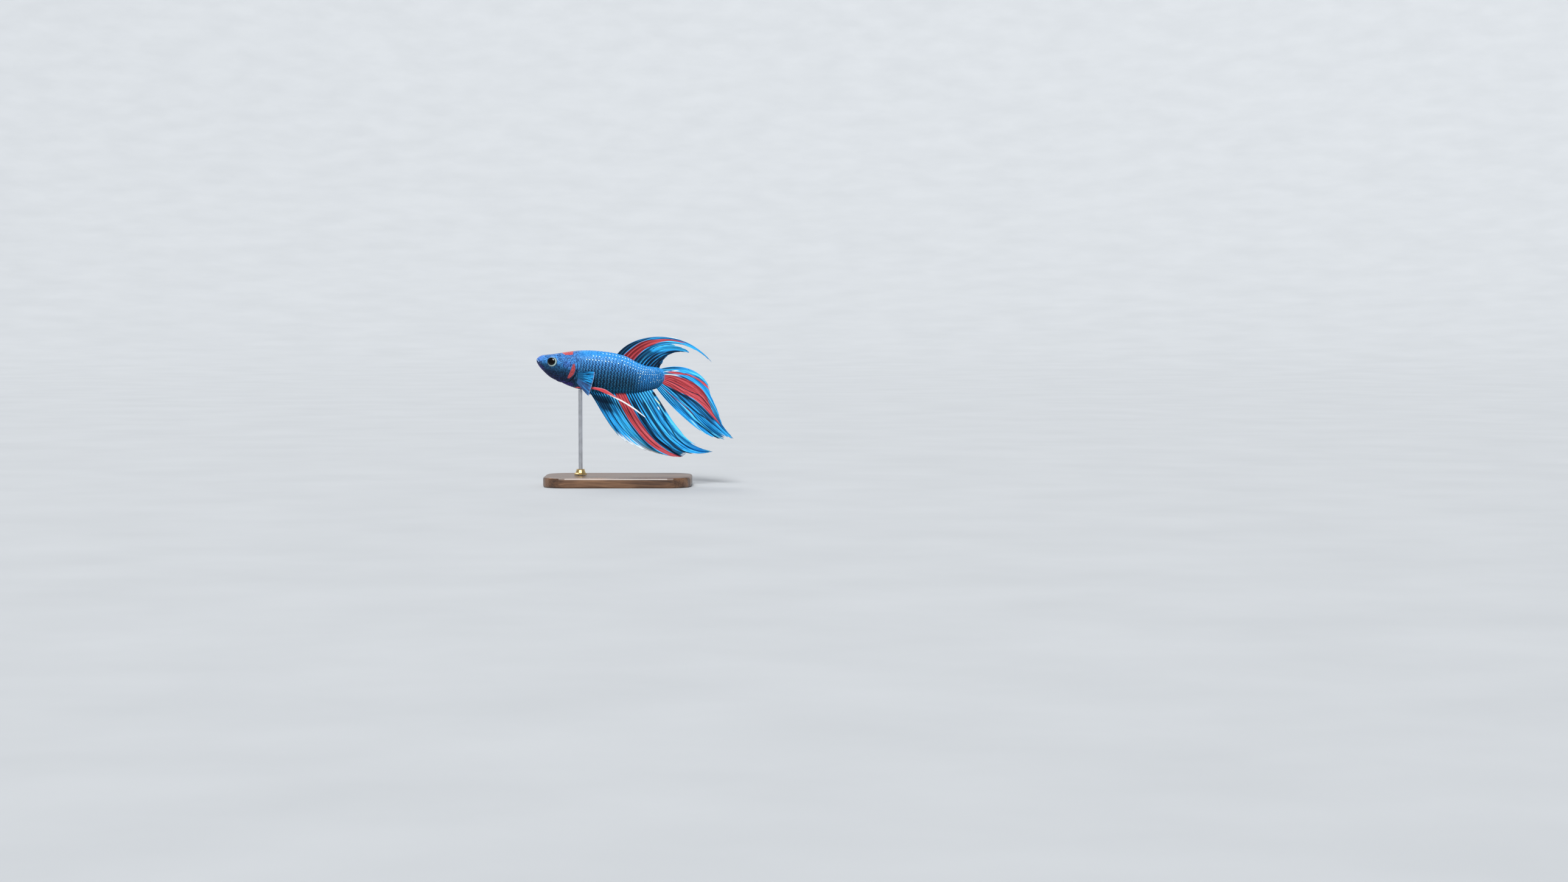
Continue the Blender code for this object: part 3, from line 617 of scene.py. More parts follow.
def section_map():
    """The left half of the bare body as [ring, share] points, from belly (-1) to back (1).

    Share is the way round from the widest line to the midline, so that rows of scales keep it.
    Behind the tail stalk it closes to a thin rounded edge over the tail fin's roots.
    """
    xs = SKIN_END * np.linspace(0, 1, SKIN_RINGS) ** RING_CROWDING
    shares = np.linspace(-1, 1, 2 * SKIN_HALF_POINTS - 1)
    points = np.zeros((len(xs), len(shares), 3))
    angles = np.linspace(-math.pi / 2, math.pi / 2, 2 * ARC_STEPS + 1)
    for i, x in enumerate(xs):
        closed = min(1.0, max(0.0, (x - TAIL_CLOSING) / (SKIN_END - TAIL_CLOSING)))
        top, bottom, wide = float(top_line(x)), float(bottom_line(x)), float(half_width(x))
        middle = bottom + (top - bottom) * float(widest_at(x))
        wide = wide * (1 - closed**1.6) + 0.02
        top, bottom = (middle + (end - middle) * math.sqrt(1 - 0.8 * closed**2) for end in (top, bottom))
        power = np.where(angles > 0, 2 / UPPER_ROUNDING, 2 / LOWER_ROUNDING)
        reach = np.where(angles > 0, top - middle, middle - bottom)
        y = -wide * np.abs(np.cos(angles)) ** power
        z = middle + reach * np.sign(angles) * np.abs(np.sin(angles)) ** power
        run = np.concatenate([[0], np.cumsum(np.hypot(np.diff(y), np.diff(z)))])
        run -= run[ARC_STEPS]
        run = np.where(run > 0, run / max(run[-1], 1e-9), run / max(-run[0], 1e-9))
        points[i, :, 0] = x
        points[i, :, 1] = np.interp(shares, run, y)
        points[i, :, 2] = np.interp(shares, run, z)
    return xs, shares, points


def line_distance(x, z, line):
    """Distance from an (x, z) polyline."""
    best = np.full(np.shape(x), 1e9)
    for (x0, z0), (x1, z1) in zip(line[:-1], line[1:]):
        dx, dz = x1 - x0, z1 - z0
        t = np.clip(((x - x0) * dx + (z - z0) * dz) / (dx * dx + dz * dz), 0, 1)
        best = np.minimum(best, np.hypot(x - x0 - t * dx, z - z0 - t * dz))
    return best


def gill_distance(x, z):
    """How far a point lies ahead of the gill cover's hind edge, and the edge's strength there."""
    dx, dz = x - GILL_CENTRE[0], z - GILL_CENTRE[1]
    angle = np.degrees(np.arctan2(dz, dx))
    strength = smooth(angle, 62, 36) * smooth(angle, -125, -98)
    return GILL_RADIUS - np.hypot(dx, dz), strength


def relief(x, z):
    """How far the skin's forms stand out of the bare body."""
    rise = np.zeros(np.shape(x))
    away = line_distance(x, z, MOUTH_LINE)
    at_mouth = smooth(x, 2.8, 1.5)
    rise += at_mouth * (0.09 * smooth(x, 0.1, 0.6) * bump(away, 0.3, 0.16) - 0.24 * bump(away, 0, 0.09))
    rise -= 0.09 * bump(line_distance(x, z, CHEEK_FOLD), 0, 0.16)
    for nostril in NOSTRILS:
        away = np.hypot(x - nostril[0], z - nostril[1])
        rise += 0.08 * bump(away, 0.26, 0.09) - 0.2 * smooth(away, 0.2, 0.1)
    away, strength = gill_distance(x, z)
    cover = 0.26 * np.exp(-np.maximum(away, 0) / 1.7) * smooth(away, -0.03, 0.08)
    groove = 0.34 * np.exp(np.minimum(away, 0) / 0.6) * smooth(away, 0.06, -0.08)
    rise += strength * (cover - groove)
    dx, dz = x - GILL_COVER_FRONT[0], z - GILL_COVER_FRONT[1]
    angle = np.degrees(np.arctan2(dz, dx))
    away = np.hypot(dx, dz) - GILL_COVER_FRONT_RADIUS
    along_edge = smooth(angle, 60, 40) * smooth(angle, -85, -62)
    rise += along_edge * (0.08 * bump(away, -0.22, 0.22) - 0.12 * bump(away, 0.08, 0.12))
    return rise


def eye_distance(x, z):
    return np.hypot(x - EYE_AT[0], z - EYE_AT[1])


XS, SHARES, BARE = section_map()
OUTWARD = np.cross(np.gradient(BARE, axis=0), np.gradient(BARE, axis=1))
OUTWARD[0] = (-1, 0, 0)
OUTWARD[:, (0, -1), 1] = 0
OUTWARD /= np.linalg.norm(OUTWARD, axis=2, keepdims=True)


def on_body(x, share):
    """Point and outward normal of the bare left flank at these places."""
    i = np.interp(x, XS, np.arange(len(XS)))
    j = (np.clip(share, -1, 1) + 1) / 2 * (len(SHARES) - 1)
    i0, j0 = np.minimum(i.astype(int), len(XS) - 2), np.minimum(j.astype(int), len(SHARES) - 2)
    u, v = (i - i0)[..., None], (j - j0)[..., None]
    found = []
    for table in (BARE, OUTWARD):
        near = table[i0, j0] * (1 - v) + table[i0, j0 + 1] * v
        far = table[i0 + 1, j0] * (1 - v) + table[i0 + 1, j0 + 1] * v
        found.append(near * (1 - u) + far * u)
    normal = found[1] / np.linalg.norm(found[1], axis=-1, keepdims=True)
    return found[0], normal


def make_skin():
    """The body's one skin, its two halves joined along the back and the belly."""
    x, z = BARE[..., 0], BARE[..., 2]
    rise = relief(x, z) - COAT_DEPTH * smooth(x, 0.5, 4.0)
    half = BARE + OUTWARD * rise[..., None]
    away = eye_distance(x, z)
    half[..., 1] -= 0.13 * bump(away, EYE_RADIUS + 0.24, 0.17)
    socket = smooth(away, EYE_RADIUS + 0.06, EYE_RADIUS - 0.12)
    half[..., 1] += (SOCKET_FLOOR - half[..., 1]) * socket
    half[:, (0, -1), 1] = 0
    half[-1, :, 1] = 0
    rings = len(XS)
    mirrored = half[:, ::-1].copy()
    mirrored[..., 1] *= -1
    loop = np.concatenate([half, mirrored[:, 1:-1]], axis=1)
    around = loop.shape[1]
    faces = grid_faces(around, rings, wrap=True)
    points = np.swapaxes(loop, 0, 1).reshape(-1, 3)
    shares = np.concatenate([SHARES, SHARES[::-1][1:-1]])
    share = np.repeat(shares, rings)
    lie = np.stack([share, np.zeros_like(share), np.zeros_like(share)], -1)
    side = np.repeat(np.where(np.arange(around) < len(SHARES), -1, 1), rings)
    v = 0.5 + side * (0.25 - share * 0.24)
    u = 0.01 + 0.98 * points[:, 0] / SKIN_END
    return make_object(
        "skin", points, faces[:, ::-1], skin_material(),
        ("head", "lower_jaw", "gill_cover_left", "gill_cover_right", "trunk", "tail_stalk"),
        {"place": points, "lie": lie}, np.stack([u, v], -1),
    )


def scale_roots():
    """(x, share, pitch, row) of each scale's root on one flank."""
    pitch_at = curve_through(SCALE_PITCH)
    roots = []
    x = SCALE_FIRST
    while x < SKIN_END - 0.9:
        pitch = float(pitch_at(x))
        for row in range(-SCALE_ROWS, SCALE_ROWS):
            share = (row + 0.5) / SCALE_ROWS
            roots.append((x + SCALE_STAGGER * pitch * (row % 2), share, pitch, row))
        x += pitch
    return roots


def wears_scale(x, share):
    """Whether there is a scale here: none by the eye, the jaw, the gill's edge and the nostrils."""
    z = on_body(np.array(x), np.array(share))[0][2]
    gill, strength = gill_distance(x, z)
    near_eye = eye_distance(x + 0.3, z) < EYE_RADIUS + BARE_RIM
    near_jaw = x < BARE_JAW[0] and z < BARE_JAW[1]
    at_gill = strength > 0.3 and -0.2 < gill < 0.8
    near_nostril = any(math.hypot(x + 0.3 - a, z - b) < BARE_RIM for a, b in NOSTRILS)
    return not (near_eye or near_jaw or at_gill or near_nostril)


def make_scales(name, side, material):
    """All the scales of one flank, as thin closed solids that overlap like tiles."""
    along_steps, across_steps = SCALE_STEPS
    p, q = np.meshgrid(np.linspace(0, 1, along_steps), np.linspace(-1, 1, across_steps), indexing="ij")
    reach = p * (1 - 0.36 * np.abs(q) ** 2.2 * p**1.5)
    broad = q * (1 - 0.3 * smooth(p, 0.55, 1.0))
    rise_at = curve_through(SCALE_RISE)
    solid = along_steps * across_steps
    _points, unit_faces = sheet_solid(np.stack([p, q, np.zeros_like(p)], -1), np.ones_like(p))
    parts, faces, lies, scales, uvs = [], [], [], [], []
    for x, share, pitch, row in scale_roots():
        chance, tone, size, lift = random.rand(4)
        if not wears_scale(x, share):
            continue
        length = pitch * SCALE_LENGTH * (0.94 + 0.12 * size)
        at_x = np.minimum(x + reach * length, SKIN_END)
        at_share = share + broad * SCALE_WIDTH / 2 / SCALE_ROWS
        bare, normal = on_body(at_x, at_share)
        rise = float(rise_at(x)) * (1 - 0.6 * float(smooth(share, 0.3, 0.7)))
        out = SCALE_DOME * (1 - q**2) - COAT_DEPTH - 0.05 + rise * p**1.25 + 0.03 * (lift - 0.5) * p
        out += relief(bare[..., 0], bare[..., 2])
        upper = bare + normal * out[..., None]
        both = np.concatenate([upper.reshape(-1, 3), (upper - normal * SCALE_THICKNESS).reshape(-1, 3)])
        both[:, 1] = np.minimum(both[:, 1], 0.0) * -side
        # Which scales bear a painted highlight, a pale glint, and how bright it is.
        first, last = PAINTED_GLINT_ROWS.get(row, (0, 0))
        painted_glint = 0.45 + 0.55 * size if first < x < last and chance > DULL_SHARE else 0.0
        first, last = STALK_PAINTED_GLINT_ROWS
        if x > STALK_PAINTED_GLINTS_FROM and first < row < last and chance > STALK_DULL_SHARE:
            painted_glint = 0.4 + 0.5 * size
        faces.append(unit_faces + len(parts) * 2 * solid)
        parts.append(both)
        lies.append(np.tile((share, tone, 0.0), (2 * solid, 1)))
        local = np.stack([p, q, np.full_like(p, painted_glint)], -1).reshape(-1, 3)
        scales.append(np.concatenate([local, local]))
        u = 0.01 + 0.98 * x / SKIN_END + (p - 0.5) * 0.003
        v = 0.5 + share * 0.48 + q * 0.0015
        patch = np.stack([u, v], -1).reshape(-1, 2)
        uvs.append(np.concatenate([patch, patch]))
    faces = np.concatenate(faces)
    if side > 0:
        faces = faces[:, ::-1]
    points = np.concatenate(parts)
    return make_object(
        name, points, faces, material, (),
        {"place": points, "lie": np.concatenate(lies), "scale": np.concatenate(scales)},
        np.concatenate(uvs),
    )


# Eyes.


IRIS = (
    (0.0, (0.04, 0.07, 0.09)), (0.12, (0.24, 0.36, 0.36)), (0.5, (0.4, 0.52, 0.49)), (0.85,
    (0.18, 0.3, 0.36)),
)
IRIS_BLUE = (0.16, 0.33, 0.55)
PUPIL = (0.0002, 0.0002, 0.0003)
EYE_RIM = (0.01, 0.03, 0.08)


def eye_material():
    """A black pupil set forward in a pale grey-green iris with a dark rim, under a clear cornea."""
    n = Nodes("fish_eye")
    across, up, _depth = n.split(n.attribute("lie"))

    def distance(x, z):
        return n.sum("SQRT", (across - x) ** 2 + (up - z) ** 2)

    out, from_pupil = distance(0.0, 0.0), distance(*PUPIL_AT)
    grain = n.noise(n.attribute("place"), 9.0, 3.0)
    iris = n.ramp((from_pupil - PUPIL_RADIUS) * 1.3 + (grain - 0.5) * 0.25, IRIS)
    iris = n.mix(n.step(up, 0.6, 1.3) * n.step(across, 0.9, 0.2), iris, IRIS_BLUE)
    colour = n.mix(n.step(from_pupil, PUPIL_RADIUS + 0.05, PUPIL_RADIUS - 0.05), iris, PUPIL)
    colour = n.mix(n.step(out, EYE_RADIUS - 0.06, EYE_RADIUS - 0.01), colour, EYE_RIM)
    gloss = {"Coat_Weight": 1.0, "Coat_Roughness": 0.13, "Coat_IOR": 1.35, "Specular_IOR_Level": 0.0}
    return n.finish(colour, grain * 0.06 + 0.1, **gloss)


def make_eye(name, side, material):
    """An eyeball that follows the side of the head, its lens bulging a little."""
    rings, around = 40, 72
    angle, polar = np.meshgrid(
        np.linspace(0, 2 * math.pi, around, endpoint=False), np.linspace(0, math.pi, rings), indexing="ij"
    )
    across = EYE_RADIUS * np.sin(polar) * np.cos(angle)
    up = EYE_RADIUS * np.sin(polar) * np.sin(angle)
    deep = EYE_HALF_DEPTH * np.sign(np.cos(polar)) * np.abs(np.cos(polar)) ** EYE_FLATNESS
    lens = np.hypot(across - PUPIL_AT[0], up - PUPIL_AT[1])
    deep += np.where(deep > 0, 0.03 * smooth(lens, PUPIL_RADIUS + 0.15, PUPIL_RADIUS - 0.4), 0)
    y = EYE_OFFSET + deep - EYE_TURN[0] * across - EYE_TURN[1] * up
    points = np.stack([EYE_AT[0] + across, side * y, EYE_AT[1] + up], -1).reshape(-1, 3)
    lie = np.stack([across, up, deep], -1).reshape(-1, 3)
    faces = grid_faces(around, rings, wrap=True, flip=side < 0)
    return make_object(
        "eyeball_" + name, points, faces, material, ("eye_" + name,), {"place": points, "lie": lie},
        0.5 + lie[:, :2] / EYE_RADIUS * 0.48,
    )


# Fins.


def ray_paths(table, shares):
    """Rays at these shares of the way along a fin's base: base values, lengths and paths."""
    base = np.array(table["base"], float)
    along = (base - base[0]) / (base[-1] - base[0])
    read = {key: curve_through(list(zip(along, table[key])))(shares) for key in table}
    t = (np.arange(RAY_STEPS) + 0.5) / RAY_STEPS
    root, middle, tip = (read[key][:, None] for key in ("root", "middle", "tip"))
    slope = np.radians(root * (1 - t) * (1 - 2 * t) + 4 * middle * t * (1 - t) + tip * t * (2 * t - 1))
    step = read["length"][:, None, None] / RAY_STEPS * np.stack([np.cos(slope), np.sin(slope)], -1)
    paths = np.concatenate([np.zeros((len(shares), 1, 2)), np.cumsum(step, axis=1)], axis=1)
    return read["base"], read["length"], paths


def crests(share, rays, along):
    """Height of the ray ridges, 0 to 1. Each ray splits in two, and in four near its end."""
    cell = share * (rays - 1)
    off = cell - np.round(cell)
    first = 0.25 * smooth(along, 0.3, 0.62)
    second = 0.125 * smooth(along, 0.66, 0.92)
    width = 0.2 - 0.12 * smooth(along, 0.1, 0.9)
    away = np.full(np.shape(off), 9.0)
    for a in (-1, 1):
        for b in (-1, 1):
            away = np.minimum(away, np.abs(off - a * first - b * second))
    return np.exp(-((away / width) ** 2))


def make_sheet(name, ending, grid, half, lie, material):
    """A fin's thin solid. Its two sides lie in the two halves of its unwrap, by share and way along."""
    points, faces = sheet_solid(grid, half)
    lie = np.stack(np.broadcast_arrays(*lie), -1).reshape(-1, 3)
    side = np.repeat((0.0, 0.5), len(lie))
    lie = np.concatenate([lie, lie])
    uv = np.stack([0.01 + side + 0.48 * lie[:, 0], 0.02 + 0.96 * lie[:, 1]], -1)
    attributes = {"place": points, "lie": lie}
    return make_object(name + ending, points, faces, material, (name,), attributes, uv)


def make_fin(name, table, counts, base_point, sideways, edge, notch, material, ray_half=RAY_HALF_THICKNESS):
    """A fin as one thin closed sheet with ridged, branching rays and a ragged edge.

    Counts are its rays, columns to a ray and rows. Edge is how far the rays reach, as knots over
    the share of the base. Notch is the depth of the gaps between rays and between their branches,
    and how uneven the ends are.
    """
    rays, per_ray, rows = counts
    columns = (rays - 1) * per_ray + 1
    shares = np.linspace(0, 1, columns)
    base, length, paths = ray_paths(table, shares)
    steps = np.linspace(0, 1, RAY_STEPS + 1)
    cell = shares * (rays - 1)
    between = np.abs(cell - np.round(cell)) * 2
    web_notch, strand_notch, jitter = notch
    uneven = np.random.RandomState(SEED + len(name)).rand(4 * rays)
    ends = curve_through(edge)(shares) - jitter * np.interp(cell * 4, np.arange(4 * rays), uneven)
    ends -= curve_through(web_notch)(shares) * smooth(between, 0.4, 1.0)
    ends -= strand_notch * (1 - crests(shares, rays, np.ones(columns)))
    at = np.concatenate([[-1.0], np.linspace(0, 1, rows)])
    grid = np.zeros((columns, rows + 1, 3))
    along = np.zeros((columns, rows + 1))
    for c in range(columns):
        t = at * ends[c]
        t[0] = -ROOT_DEPTH / length[c]
        start = paths[c, 1] / np.linalg.norm(paths[c, 1])
        xs = np.where(t < 0, start[0] * t * length[c], np.interp(t, steps, paths[c, :, 0]))
        zs = np.where(t < 0, start[1] * t * length[c], np.interp(t, steps, paths[c, :, 1]))
        x0, z0 = base_point(base[c])
        grid[c] = np.stack([x0 + xs, sideways(shares[c], t, base[c], length[c]), z0 + zs], -1)
        along[c] = np.clip(t, 0, 1)
    share = np.repeat(shares[:, None], rows + 1, axis=1)
    crest = crests(share, rays, along)
    thin = smooth(np.clip(at, 0, 1), 1.0, 0.86)[None, :]
    ridge = ray_half * (1 - 0.5 * smooth(along, 0.1, 1.0))
    half = WEB_HALF_THICKNESS + (ridge - WEB_HALF_THICKNESS) * crest
    half = TIP_HALF_THICKNESS + (half - TIP_HALF_THICKNESS) * thin
    return make_sheet(name, "_rays", grid, half, (share, along, crest), material)


def folded(amount, count, start, sway, pleats):
    """A fin's soft folds, its sway, and small pleats between the rays."""

    def sideways(share, rows, _base, _length):
        t = np.clip(rows, 0, 1)
        folds = amount * math.sin(2 * math.pi * (count * share + start)) * t**FOLD_GROWTH + sway * t**2
        small = 0.28 * np.sin(2 * math.pi * (pleats * share + 0.35 * t)) * t
        return folds + small

    return sideways


def on_back(x):
    return x, float(top_line(x))


def on_belly(x):
    return x, float(bottom_line(x))


def on_stalk_end(z):
    return BODY_LENGTH - STALK_END_BULGE * (z - STALK_END_MIDDLE) ** 2, z


def on_flank(z):
    x, bow = PECTORAL_BASE
    top, bottom = PECTORAL["base"][0], PECTORAL["base"][-1]
    return x + bow * math.sin(math.pi * (z - bottom) / (top - bottom)), z


def flank_width(x, z):
    """Half the body's width at that height."""
    top, bottom = float(top_line(x)), float(bottom_line(x))
    middle = bottom + (top - bottom) * float(widest_at(x))
    reach, power = (top - middle, UPPER_ROUNDING) if z > middle else (middle - bottom, LOWER_ROUNDING)
    return float(half_width(x)) * max(0.0, 1 - (abs(z - middle) / reach) ** power) ** (1 / power)


def flared(side):
    """A pectoral fin's path off the flank, with its root sunk into it."""

    def sideways(share, rows, base, length):
        flare = rows * length * math.sin(math.radians(PECTORAL_FLARE))
        cupped = 0.25 * np.sin(math.pi * share) * np.clip(rows, 0, 1)
        sunk = np.where(rows < 0, PECTORAL_ROOT_DEPTH, 0.0)
        return side * (flank_width(PECTORAL_BASE[0], base) + flare + cupped - sunk)

    return sideways


def make_pelvic_fin(name, side, material):
    """A long narrow fin: a flat red blade that runs out into a white thread."""
    count, edges = 120, 13
    xs = np.linspace(PELVIC_LINE[0][0], PELVIC_LINE[-1][0], count)
    zs = curve_through(PELVIC_LINE)(xs)
    slopes = np.arctan2(np.gradient(zs), np.gradient(xs))
    reach = curve_through(PELVIC_WIDTH)(xs) / 2
    apart = curve_through(PELVIC_APART)(xs)
    levels = np.linspace(-1, 1, edges)
    x = xs[None, :] - levels[:, None] * (reach * np.sin(slopes))[None, :]
    z = zs[None, :] + levels[:, None] * (reach * np.cos(slopes))[None, :]
    y = side * np.repeat(apart[None, :], edges, axis=0)
    grid = np.stack([x, y, z], -1)
    ribs = 0.5 + 0.5 * np.cos(levels * math.pi * 3)
    thick = 0.07 + 0.15 * np.sqrt(1 - levels**2) + 0.04 * ribs
    half = thick[:, None] * (1 - 0.5 * smooth(xs, *PELVIC_THREAD))
    along = (xs - xs[0]) / (xs[-1] - xs[0])
    lie = ((levels[:, None] + 1) / 2, along[None, :], ribs[:, None])
    return make_sheet(name, "_blade", grid, half, lie, material)


PELVIC_REDS = ((0.1, (0.3, 0.02, 0.03)), (0.3, (0.6, 0.06, 0.075)), (0.5, (0.72, 0.13, 0.14)))


def pelvic_material():
    n = Nodes("pelvic_fin")
    share, along, crest = n.split(n.attribute("lie"))
    streak = n.noise(n.vector(share * 5.0, along * 9.0), 1.0, 3.0)
    red = n.ramp(streak * 0.6 + (crest - 0.5) * 0.15, PELVIC_REDS)
    white = n.ramp(streak, ((0.3, (0.55, 0.62, 0.68)), (0.6, (0.92, 0.95, 0.95))))
    base = n.mix(n.step(along, 0.0, 0.06), (0.2, 0.05, 0.06), red)
    turn_white = along + (share - 0.5) * -0.22 + (streak - 0.5) * 0.12
    colour = n.mix(n.step(turn_white, 0.52, 0.62), base, white)
    rim = n.step(share, 0.84, 0.97) * n.window(along, 0.25, 0.6, 0.08)
    colour = n.mix(rim * 0.4, colour, (0.45, 0.55, 0.7))
    return n.finish(colour, streak * 0.2 + 0.35, streak, 0.3, 0.05, Specular_IOR_Level=0.2)


# The stand.


def wood_material():
    """Oiled walnut, its grain running along the base."""
    n = Nodes("walnut_finish")
    x, y, z = n.split(n.place())
    bend = n.noise(n.vector(x * 0.02, y * 0.06, z * 0.06), 1.0, 3.0)
    rings = n.sum("SINE", y * 1.1 + z * 0.6 + bend * 16.0)
    fibre = n.noise(n.vector(x * 0.12, y * 2.6, z * 2.6), 1.0, 4.0, 0.6)
    browns = ((0.2, (0.035, 0.014, 0.006)), (0.5, (0.11, 0.05, 0.022)), (0.75, (0.2, 0.1, 0.048)))
    colour = n.ramp(rings * 0.16 + fibre, browns)
    return n.finish(colour, fibre * 0.25 + 0.28, fibre, 0.25, 0.08, Coat_Weight=0.2, Coat_Roughness=0.25)


def metal_material(name, colour, streak, roughness):
    """Drawn or turned metal: fine lines that vary in tone and gloss."""
    n = Nodes(name)
    place = n.place()
    x, y, z = n.split(place)
    lines = n.noise(n.vector(x * streak[0], y * streak[0], z * streak[1]), 1.0, 3.0)
    tone = lines * 0.6 + n.noise(place, 0.5) * 0.4
    darker = tuple(0.62 * part for part in colour)
    shade = n.ramp(tone, ((0.3, darker), (0.65, colour)))
    return n.finish(shade, lines * 0.2 + roughness, lines, 0.15, 0.03, Metallic=1.0)


def finish_stand():
    looks = {
        "stand_base": wood_material(),
        "stand_rod": metal_material("rod_finish", (0.62, 0.63, 0.66), (9.0, 0.15), 0.22),
        "stand_collar": metal_material("collar_finish", (0.75, 0.53, 0.22), (0.4, 9.0), 0.2),
    }
    for node, material in looks.items():
        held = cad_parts[node]
        held.data.materials.clear()
        held.data.materials.append(material)


# The fins' colours, as fin_material reads them.
CYAN = (0.05, 0.54, 0.95)
BLUE = (0.03, 0.4, 0.9)
ANAL_WHITE_STRANDS = (0.03, 0.07, 0.11, 0.15, 0.19, 0.235, 0.28)
DORSAL_COLOURS = {
    "rays": 12,
    "red": (
        ((0, 0.15), (0.1, 0.165), (0.25, 0.155), (0.36, 0.21), (0.6, 0.22), (1, 0.23)),
        ((0, 0.395), (0.12, 0.393), (0.25, 0.37), (0.42, 0.335), (0.62, 0.275), (1, 0.25)),
    ),
    "red_span": (-0.1, 0.7),
    "redness": 0.42,
    "level": (
        (0, 0.5), (0.1, 0.4), (0.2, 0.5), (0.32, 0.54), (0.45, 0.5), (0.56, 0.56), (0.64, 0.28),
        (0.78, 0.12), (1, 0.12),
    ),
    "touches": (
        (NAVY, 0.06, 0.11, -0.1, 0.25, 0.85),
        (WHITE, 0.0, 0.04, 0.62, 1.1, 0.8),
        (NAVY, ((0, 0.12), (0.3, 0.12), (1, 0.14)), 0.016, 0.2, 0.75, 0.8),
        (NAVY, ((0, 0.47), (0.4, 0.52), (1, 0.7)), 0.1, -0.1, 0.32, 0.8),
        (NAVY, ((0, 0.42), (0.5, 0.36), (1, 0.32)), 0.018, 0.3, 0.85, 0.8),
        (NAVY, ((0, 0.5), (0.5, 0.46), (1, 0.42)), 0.016, 0.35, 0.9, 0.8),
        (CYAN, ((0, 0.55), (1, 0.6)), 0.06, 0.42, 0.9, 0.8),
    ),
}
DORSAL_EDGE = (
    (0, 0.97), (0.1, 1.0), (0.25, 1.0), (0.31, 0.92), (0.37, 0.8), (0.43, 0.76), (0.5, 0.83), (0.54, 0.93),
    (0.58, 1.04), (0.62, 0.98), (0.68, 0.93), (0.8, 0.94), (1, 1),
)
CAUDAL_COLOURS = {
    "rays": 18,
    "red": (
        (
            (0, 0.29), (0.15, 0.295), (0.27, 0.27), (0.42, 0.225), (0.52, 0.225), (0.6, 0.275),
            (0.7, 0.385), (1, 0.5),
        ),
        (
            (0, 0.69), (0.1, 0.645), (0.21, 0.608), (0.33, 0.545), (0.44, 0.5), (0.6, 0.482), (0.77, 0.46),
            (1, 0.45),
        ),
    ),
    "red_span": (-0.1, 0.8),
    "level": (
        (0, 0.6), (0.1, 0.6), (0.3, 0.56), (0.5, 0.5), (0.56, 0.4), (0.64, 0.46), (0.74, 0.58), (0.84, 0.6),
        (0.93, 0.6), (1, 0.48),
    ),
    "touches": (
        (BLUE, ((0, 0.25), (0.17, 0.245), (0.31, 0.2), (0.55, 0.15), (1, 0.15)), 0.034, 0.12, 1.0, 0.9),
        (
            (0.6, 0.075, 0.09),
            ((0, 0.2), (0.06, 0.205), (0.15, 0.205), (0.27, 0.155), (0.42, 0.118), (0.6, 0.108), (1, 0.09)),
            ((0, 0.046), (0.15, 0.042), (0.27, 0.023), (0.42, 0.0105), (0.7, 0.008), (1, 0.006)),
            0.06, 0.98, 1.0,
        ),
        (
            DARK_RED, ((0, 0.19), (0.15, 0.18), (0.27, 0.14), (0.42, 0.106), (0.6, 0.099), (1, 0.085)),
            ((0, 0.007), (0.3, 0.006), (0.5, 0.003), (1, 0.003)), 0.15, 0.9, 0.9,
        ),
        (
            WHITE, ((0, 0.17), (0.04, 0.168), (0.12, 0.135), (0.25, 0.092), (0.4, 0.09)),
            0.016, 0.02, 0.3, 0.95,
        ),
        (WHITE, ((0, 0.288), (0.08, 0.29), (0.15, 0.268), (1, 0.26)), 0.018, 0.02, 0.17, 0.95),
        (
            NAVY, ((0, 0.49), (0.21, 0.487), (0.31, 0.458), (0.46, 0.372), (0.6, 0.357), (1, 0.3)),
            0.011, 0.03, 0.66, 0.9,
        ),
        (
            DARK_RED, ((0, 0.37), (0.17, 0.335), (0.33, 0.285), (0.44, 0.25), (0.6, 0.24), (1, 0.24)),
            0.008, 0.06, 0.7, 0.85,
        ),
        (
            DARK_RED, ((0, 0.62), (0.17, 0.57), (0.31, 0.515), (0.46, 0.453), (0.56, 0.417), (1, 0.4)),
            0.009, 0.08, 0.8, 0.85,
        ),
        (DARK_RED, ((0, 0.43), (0.2, 0.42), (0.4, 0.34), (0.6, 0.3), (1, 0.3)), 0.006, 0.1, 0.66, 0.8),
        (
            NAVY,
            ((0, 0.7), (0.21, 0.632), (0.27, 0.612), (0.35, 0.575), (0.44, 0.535), (0.55, 0.517), (1, 0.5)),
            0.032, 0.12, 0.72, 0.92,
        ),
        (NAVY, ((0, 0.72), (0.5, 0.66), (0.56, 0.647), (0.67, 0.608), (1, 0.56)), 0.016, 0.25, 0.88, 0.9),
        (NAVY, ((0, 0.74), (0.48, 0.728), (0.56, 0.743), (0.65, 0.745), (1, 0.75)), 0.014, 0.4, 0.82, 0.85),
        (
            (0.25, 0.03, 0.03), ((0, 0.787), (0.15, 0.782), (0.29, 0.755), (0.38, 0.737), (1, 0.727)),
            0.012, 0.0, 0.5, 0.95,
        ),
        (NAVY, ((0, 0.84), (0.4, 0.82), (1, 0.8)), 0.01, 0.1, 0.6, 0.8),
        (NAVY, ((0, 0.79), (0.67, 0.79), (0.75, 0.782), (0.85, 0.797), (1, 0.828)), 0.024, 0.6, 1.1, 0.9),
        (
            (0.4, 0.85, 0.95), ((0, 0.86), (0.6, 0.863), (0.79, 0.93), (0.9, 0.955), (1, 0.95)),
            0.03, 0.6, 1.05, 0.9,
        ),
    ),
}
CAUDAL_EDGE = (
    (0, 1.0), (0.1, 1.0), (0.2, 0.92), (0.27, 0.89), (0.34, 0.94), (0.4, 0.97), (0.47, 1.0), (0.53, 1.0),
    (0.68, 0.96), (0.8, 1.0), (0.87, 0.99), (0.93, 0.92), (1, 0.82),
)
